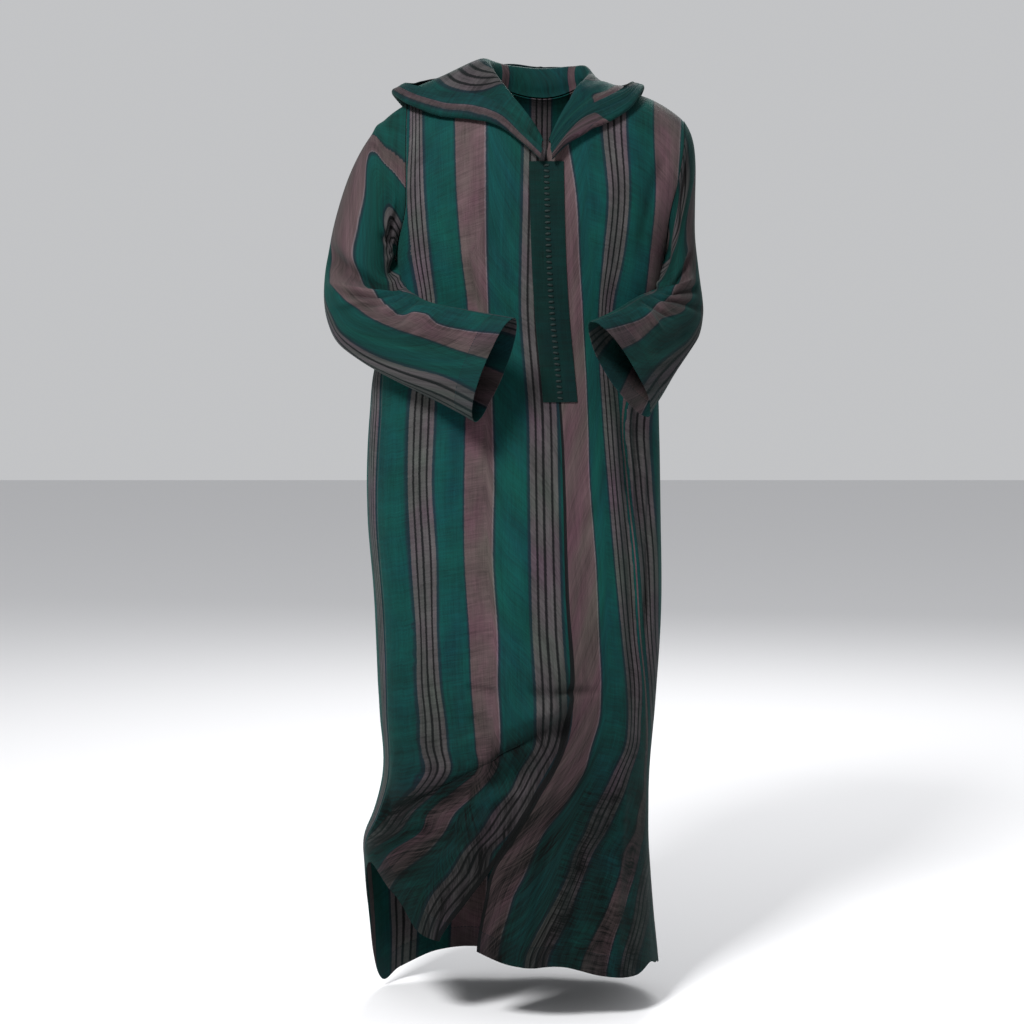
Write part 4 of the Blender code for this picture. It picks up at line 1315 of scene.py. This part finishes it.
def shell(name, outer, inner, facts):
    """A closed shell of cloth between two grids of points, with its attributes."""
    rows, across = outer.shape[:2]
    count = rows * across
    index = np.arange(count).reshape(rows, across)

    def quads(a, b, c, d):
        return np.stack([a, b, c, d], axis=-1).reshape(-1, 4)

    faces = [
        quads(index[:-1, :-1], index[1:, :-1], index[1:, 1:], index[:-1, 1:]),
        quads(index[:-1, :-1], index[:-1, 1:], index[1:, 1:], index[1:, :-1]) + count,
    ]
    for line in (index[0], index[-1][::-1], index[:, 0][::-1], index[:, -1]):
        faces.append(quads(line[:-1], line[1:], line[1:] + count, line[:-1] + count))
    points = np.concatenate([outer.reshape(-1, 3), inner.reshape(-1, 3)])
    piece = smooth_piece(name, points.tolist(), np.concatenate(faces).tolist())
    for key in ("place", "along", "to_hem", "to_centre", "to_side", "painted_shade_and_dye"):
        values = np.broadcast_to(facts.get(key, 1.0), outer.shape[:2]).ravel()
        layer = piece.data.attributes.new(key, "FLOAT", "POINT")
        layer.data.foreach_set("value", np.concatenate([values, values]).astype(np.float32))
    piece.data.set_sharp_from_angle(angle=math.radians(60))
    return piece


class Nodes:
    """Short ways to add nodes to a material."""

    def __init__(self, name, **inputs):
        self.material = bpy.data.materials.new(name)
        self.material.use_nodes = True
        self.tree = self.material.node_tree
        self.shader = self.tree.nodes["Principled BSDF"]
        self.fix(self.shader, inputs)

    def fix(self, node, inputs):
        for key, value in inputs.items():
            node.inputs[key.replace("_", " ")].default_value = value

    def add(self, kind, **values):
        node = self.tree.nodes.new(kind)
        for key, value in values.items():
            setattr(node, key, value)
        return node

    def link(self, source, target):
        self.tree.links.new(source, target)

    def put(self, socket, value):
        if isinstance(value, (int, float, tuple)):
            socket.default_value = value
        else:
            self.link(value, socket)

    def math(self, operation, first, second=0.0, third=0.0, clamp=False):
        node = self.add("ShaderNodeMath", operation=operation, use_clamp=clamp)
        for socket, value in zip(node.inputs, (first, second, third)):
            self.put(socket, value)
        return node.outputs[0]

    def scaled(self, first, second):
        return self.math("MULTIPLY", first, second)

    def attribute(self, name):
        return self.add("ShaderNodeAttribute", attribute_name=name).outputs["Fac"]

    def vector(self, x, y, z=0.0):
        node = self.add("ShaderNodeCombineXYZ")
        for socket, value in zip(node.inputs, (x, y, z)):
            self.put(socket, value)
        return node.outputs[0]

    def noise(self, vector, scale=1.0, detail=2.0, roughness=0.5):
        node = self.add("ShaderNodeTexNoise")
        self.link(vector, node.inputs["Vector"])
        self.fix(node, {"Scale": scale, "Detail": detail, "Roughness": roughness})
        return node.outputs["Fac"]

    def ramp(self, value, stops):
        node = self.add("ShaderNodeValToRGB")
        self.link(value, node.inputs[0])
        elements = node.color_ramp.elements
        while len(elements) < len(stops):
            elements.new(0.5)
        for element, (position, colour) in zip(elements, stops):
            element.position = position
            element.color = (*colour, 1.0)
        return node.outputs[0]

    def mix(self, share, first, second, blend="MIX"):
        node = self.add("ShaderNodeMix", data_type="RGBA", blend_type=blend)
        self.put(node.inputs[0], share)
        for socket, value in ((node.inputs[6], first), (node.inputs[7], second)):
            self.put(socket, value if not isinstance(value, tuple) else (*value, 1.0))
        return node.outputs[2]

    def bump(self, height, strength, distance):
        node = self.add("ShaderNodeBump")
        self.fix(node, {"Strength": strength, "Distance": distance})
        self.link(height, node.inputs["Height"])
        self.link(node.outputs[0], self.shader.inputs["Normal"])


def stripe_stops():
    """Colour stops of one repeat: places in metres from the mauve stripe, and colours."""
    stops = []
    for start, end, colour in BANDS:
        stops.append(((start - REPEAT_START) / REPEAT, colour))
        stops.append(((end - REPEAT_START) / REPEAT, colour))
    return stops


def threads(nodes, place, along, across, down, seed, detail):
    """Noise centred on 0, with its own fineness across and down the cloth."""
    where = nodes.vector(nodes.scaled(place, across), nodes.scaled(along, down), seed)
    return nodes.math("SUBTRACT", nodes.noise(where, 1.0, detail, 0.55), 0.5)


def weave(nodes, colour, strength):
    """Threads, slubs and uneven dye on a colour, over the painted shade that each piece carries,
    with the roughness and bump to match.
    """
    place, along = nodes.attribute("place"), nodes.attribute("along")
    # The tone starts from the painted shade of folds, heights, hood and sleeves
    tone = nodes.attribute("painted_shade_and_dye")
    parts = {}
    for name, (*fineness, weight) in GRAIN.items():
        parts[name] = threads(nodes, place, along, *fineness)
        tone = nodes.math("MULTIPLY_ADD", parts[name], weight, tone)
    hue = threads(nodes, place, along, *TINT_GRAIN)
    tint = nodes.ramp(nodes.math("MULTIPLY_ADD", hue, TINT_SPREAD, 0.5), TINTS)
    grey = nodes.add("ShaderNodeCombineColor")
    for socket in grey.inputs:
        nodes.link(tone, socket)
    tinted = nodes.mix(1.0, colour, tint, "MULTIPLY")
    shaded = nodes.mix(1.0, tinted, grey.outputs[0], "MULTIPLY")
    nodes.link(shaded, nodes.shader.inputs["Base Color"])
    crossed = nodes.math("ADD", parts["weft"], parts["warp"])
    height = nodes.math("MULTIPLY_ADD", parts["slubs"], SLUB_HEIGHT, crossed)
    nodes.bump(height, strength, GRAIN_HEIGHT)
    rough = nodes.math("MULTIPLY_ADD", parts["weft"], ROUGHNESS_SPREAD, ROUGHNESS)
    nodes.link(rough, nodes.shader.inputs["Roughness"])
    nodes.fix(nodes.shader, SHEEN)
    return nodes.material


def band_mask(nodes, distance, start, end, soft):
    """1 between two distances and 0 elsewhere, with soft edges."""
    rise = nodes.math("MULTIPLY", nodes.math("SUBTRACT", distance, start), 1 / soft, clamp=True)
    fall = nodes.math("MULTIPLY", nodes.math("SUBTRACT", end, distance), 1 / soft, clamp=True)
    return nodes.scaled(rise, fall)


def striped_cloth():
    """The robe's striped cloth."""
    nodes = Nodes("striped_cloth")
    place, along = nodes.attribute("place"), nodes.attribute("along")
    where = nodes.vector(nodes.scaled(place, 60.0), nodes.scaled(along, 260.0), 2.0)
    stray = nodes.scaled(nodes.math("SUBTRACT", nodes.noise(where), 0.5), STRAY)
    shifted = nodes.math("SUBTRACT", nodes.math("ADD", place, stray), REPEAT_START)
    inside = nodes.math("DIVIDE", nodes.math("FLOORED_MODULO", shifted, REPEAT), REPEAT)
    colour = nodes.ramp(inside, stripe_stops())

    # Painted shadow as a dark strip at the centre seam, painted shade on the turned hem, its
    # stitches and the pale side seam
    centre = band_mask(nodes, nodes.attribute("to_centre"), -1.0, SEAM_SHADOW_WIDTH, 0.0015)
    colour = nodes.mix(centre, colour, BLACK)
    hem = nodes.attribute("to_hem")
    painted_hem_shade = band_mask(nodes, hem, -1.0, HEM_DEPTH, 0.001)
    colour = nodes.mix(nodes.scaled(painted_hem_shade, HEM_PAINTED_SHADE), colour, SLATE)
    wave = nodes.math("SINE", nodes.scaled(place, 2 * math.pi / STITCH_PITCH))
    dashes = nodes.math("GREATER_THAN", wave, -0.2)
    stitch = band_mask(nodes, hem, HEM_DEPTH - STITCH_WIDTH, HEM_DEPTH, 0.0004)
    colour = nodes.mix(nodes.scaled(nodes.scaled(stitch, dashes), STITCH_SHADE), colour, SLATE)
    side = band_mask(nodes, nodes.attribute("to_side"), -1.0, SEAM_WIDTH, SEAM_WIDTH / 2)
    colour = nodes.mix(nodes.scaled(side, SEAM_SHADE), colour, GREY)
    return weave(nodes, colour, 0.35)


def knot_thread():
    """The dark thread of the knots."""
    nodes = Nodes("knot_thread", Roughness=0.60, Specular_IOR_Level=0.15)
    strand = nodes.noise(nodes.add("ShaderNodeTexCoord").outputs["Object"], 900.0)
    nodes.bump(strand, 0.4, 0.0004)
    colour = nodes.ramp(strand, ((0.3, BLACK), (0.7, KNOT)))
    nodes.link(colour, nodes.shader.inputs["Base Color"])
    return nodes.material


def make_knots():
    """The column of small wrapped knots down the placket, as one piece."""
    outer, _ = placket_points(BAND_HEIGHT)
    middle = outer[:, outer.shape[1] // 2]
    heights = np.arange(KNOT_FIRST, PLACKET_END + KNOT_LAST, -KNOT_PITCH)
    points, faces = [], []
    around, along = KNOT_CELLS
    round_wraps, long_wraps = KNOT_WRAP_TURNS
    for number, z in enumerate(heights):
        centre = np.array([np.interp(-z, -middle[:, 2], middle[:, axis]) for axis in range(3)])
        lean = KNOT_LEAN * (-1) ** number
        start = len(points)
        for row in range(along + 1):
            share = row / along * math.pi
            x = -KNOT_HALF_WIDTH * math.cos(share)
            for column in range(around):
                turn = column / around * 2 * math.pi
                wrap = 1 + KNOT_WRAP * math.cos(round_wraps * turn + long_wraps * share)
                ring = math.sin(share) ** KNOT_TAPER * wrap
                y = KNOT_DEPTH * math.cos(turn) * ring - KNOT_OUT
                up = KNOT_HALF_HEIGHT * math.sin(turn) * ring + lean * x
                points.append(tuple(centre + np.array([x, y, up])))
        for row in range(along):
            here, below = start + row * around, start + (row + 1) * around
            for column in range(around):
                after = (column + 1) % around
                faces.append((here + column, here + after, below + after, below + column))
    return smooth_piece("placket_knots", points, faces, 1e-6)


def dress(piece, cloth, node=None):
    """Gives a piece its cloth and hangs it on the root body, and where it replaces a node, hides
    that node's parts.
    """
    piece.data.materials.append(cloth)
    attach(piece, "root")
    if node:
        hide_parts(node)


def make_clothes():
    """All cloth shells and the knots."""
    cloth, band = striped_cloth(), weave(Nodes("band_cloth"), BAND, 0.30)
    shells = {
        "front_right": fine_front(-1),
        "front_left": fine_front(1),
        "back": fine_back(),
        "sleeve_right": fine_sleeve(-1, SLEEVE_RIGHT, SLEEVE_STRIPES_RIGHT, SLEEVE_CREASES_RIGHT),
        "sleeve_left": fine_sleeve(1, SLEEVE_LEFT, SLEEVE_STRIPES_LEFT, SLEEVE_CREASES_LEFT),
        "hood": fine_hood(),
    }
    for node, parts in shells.items():
        dress(shell(node + "_cloth", *parts), cloth, node)
    dress(shell("placket_cloth", *fine_placket()), band, "placket")
    dress(make_knots(), knot_thread())


def facing(place, aim):
    """The turn of a camera or light at a place that looks at the aim."""
    way = np.array(aim) - np.array(place)
    pitch = math.atan2(way[2], math.hypot(way[0], way[1]))
    return math.pi / 2 + pitch, 0.0, math.atan2(-way[0], way[1])


def make_camera():
    """The camera at the photograph's place, angle and distance."""
    data = bpy.data.cameras.new("camera")
    data.lens = LENS
    data.sensor_width = 36.0
    data.clip_end = 60.0
    camera = put("camera", data)
    camera.location = EYE
    camera.rotation_euler = facing(EYE, AIM)
    bpy.context.scene.camera = camera


def make_stage():
    """A plain pale floor, an even pale surround and soft square lights."""
    mesh = bpy.data.meshes.new("floor")
    corners = [(x, y, FLOOR_HEIGHT) for x, y in ((-1, -1), (1, -1), (1, 1), (-1, 1))]
    corners = [(x * FLOOR_REACH, y * FLOOR_REACH, z) for x, y, z in corners]
    mesh.from_pydata(corners, [], [(0, 1, 2, 3)])
    mesh.materials.append(Nodes("floor_finish", Base_Color=FLOOR_COLOUR, Roughness=0.9).material)
    put("floor", mesh)

    world = bpy.data.worlds.new("surround")
    world.use_nodes = True
    background = world.node_tree.nodes["Background"]
    background.inputs["Color"].default_value = (0.97, 0.98, 1.0, 1.0)
    background.inputs["Strength"].default_value = 0.56
    bpy.context.scene.world = world
    bpy.context.scene.view_settings.view_transform = "Standard"
    for name, place, aim, size, power in LIGHTS:
        data = bpy.data.lights.new(name, "AREA")
        data.shape = "SQUARE"
        data.size = size
        data.energy = power
        light = put(name, data)
        light.location = place
        light.rotation_euler = facing(place, aim)


make_camera()
make_stage()
make_clothes()
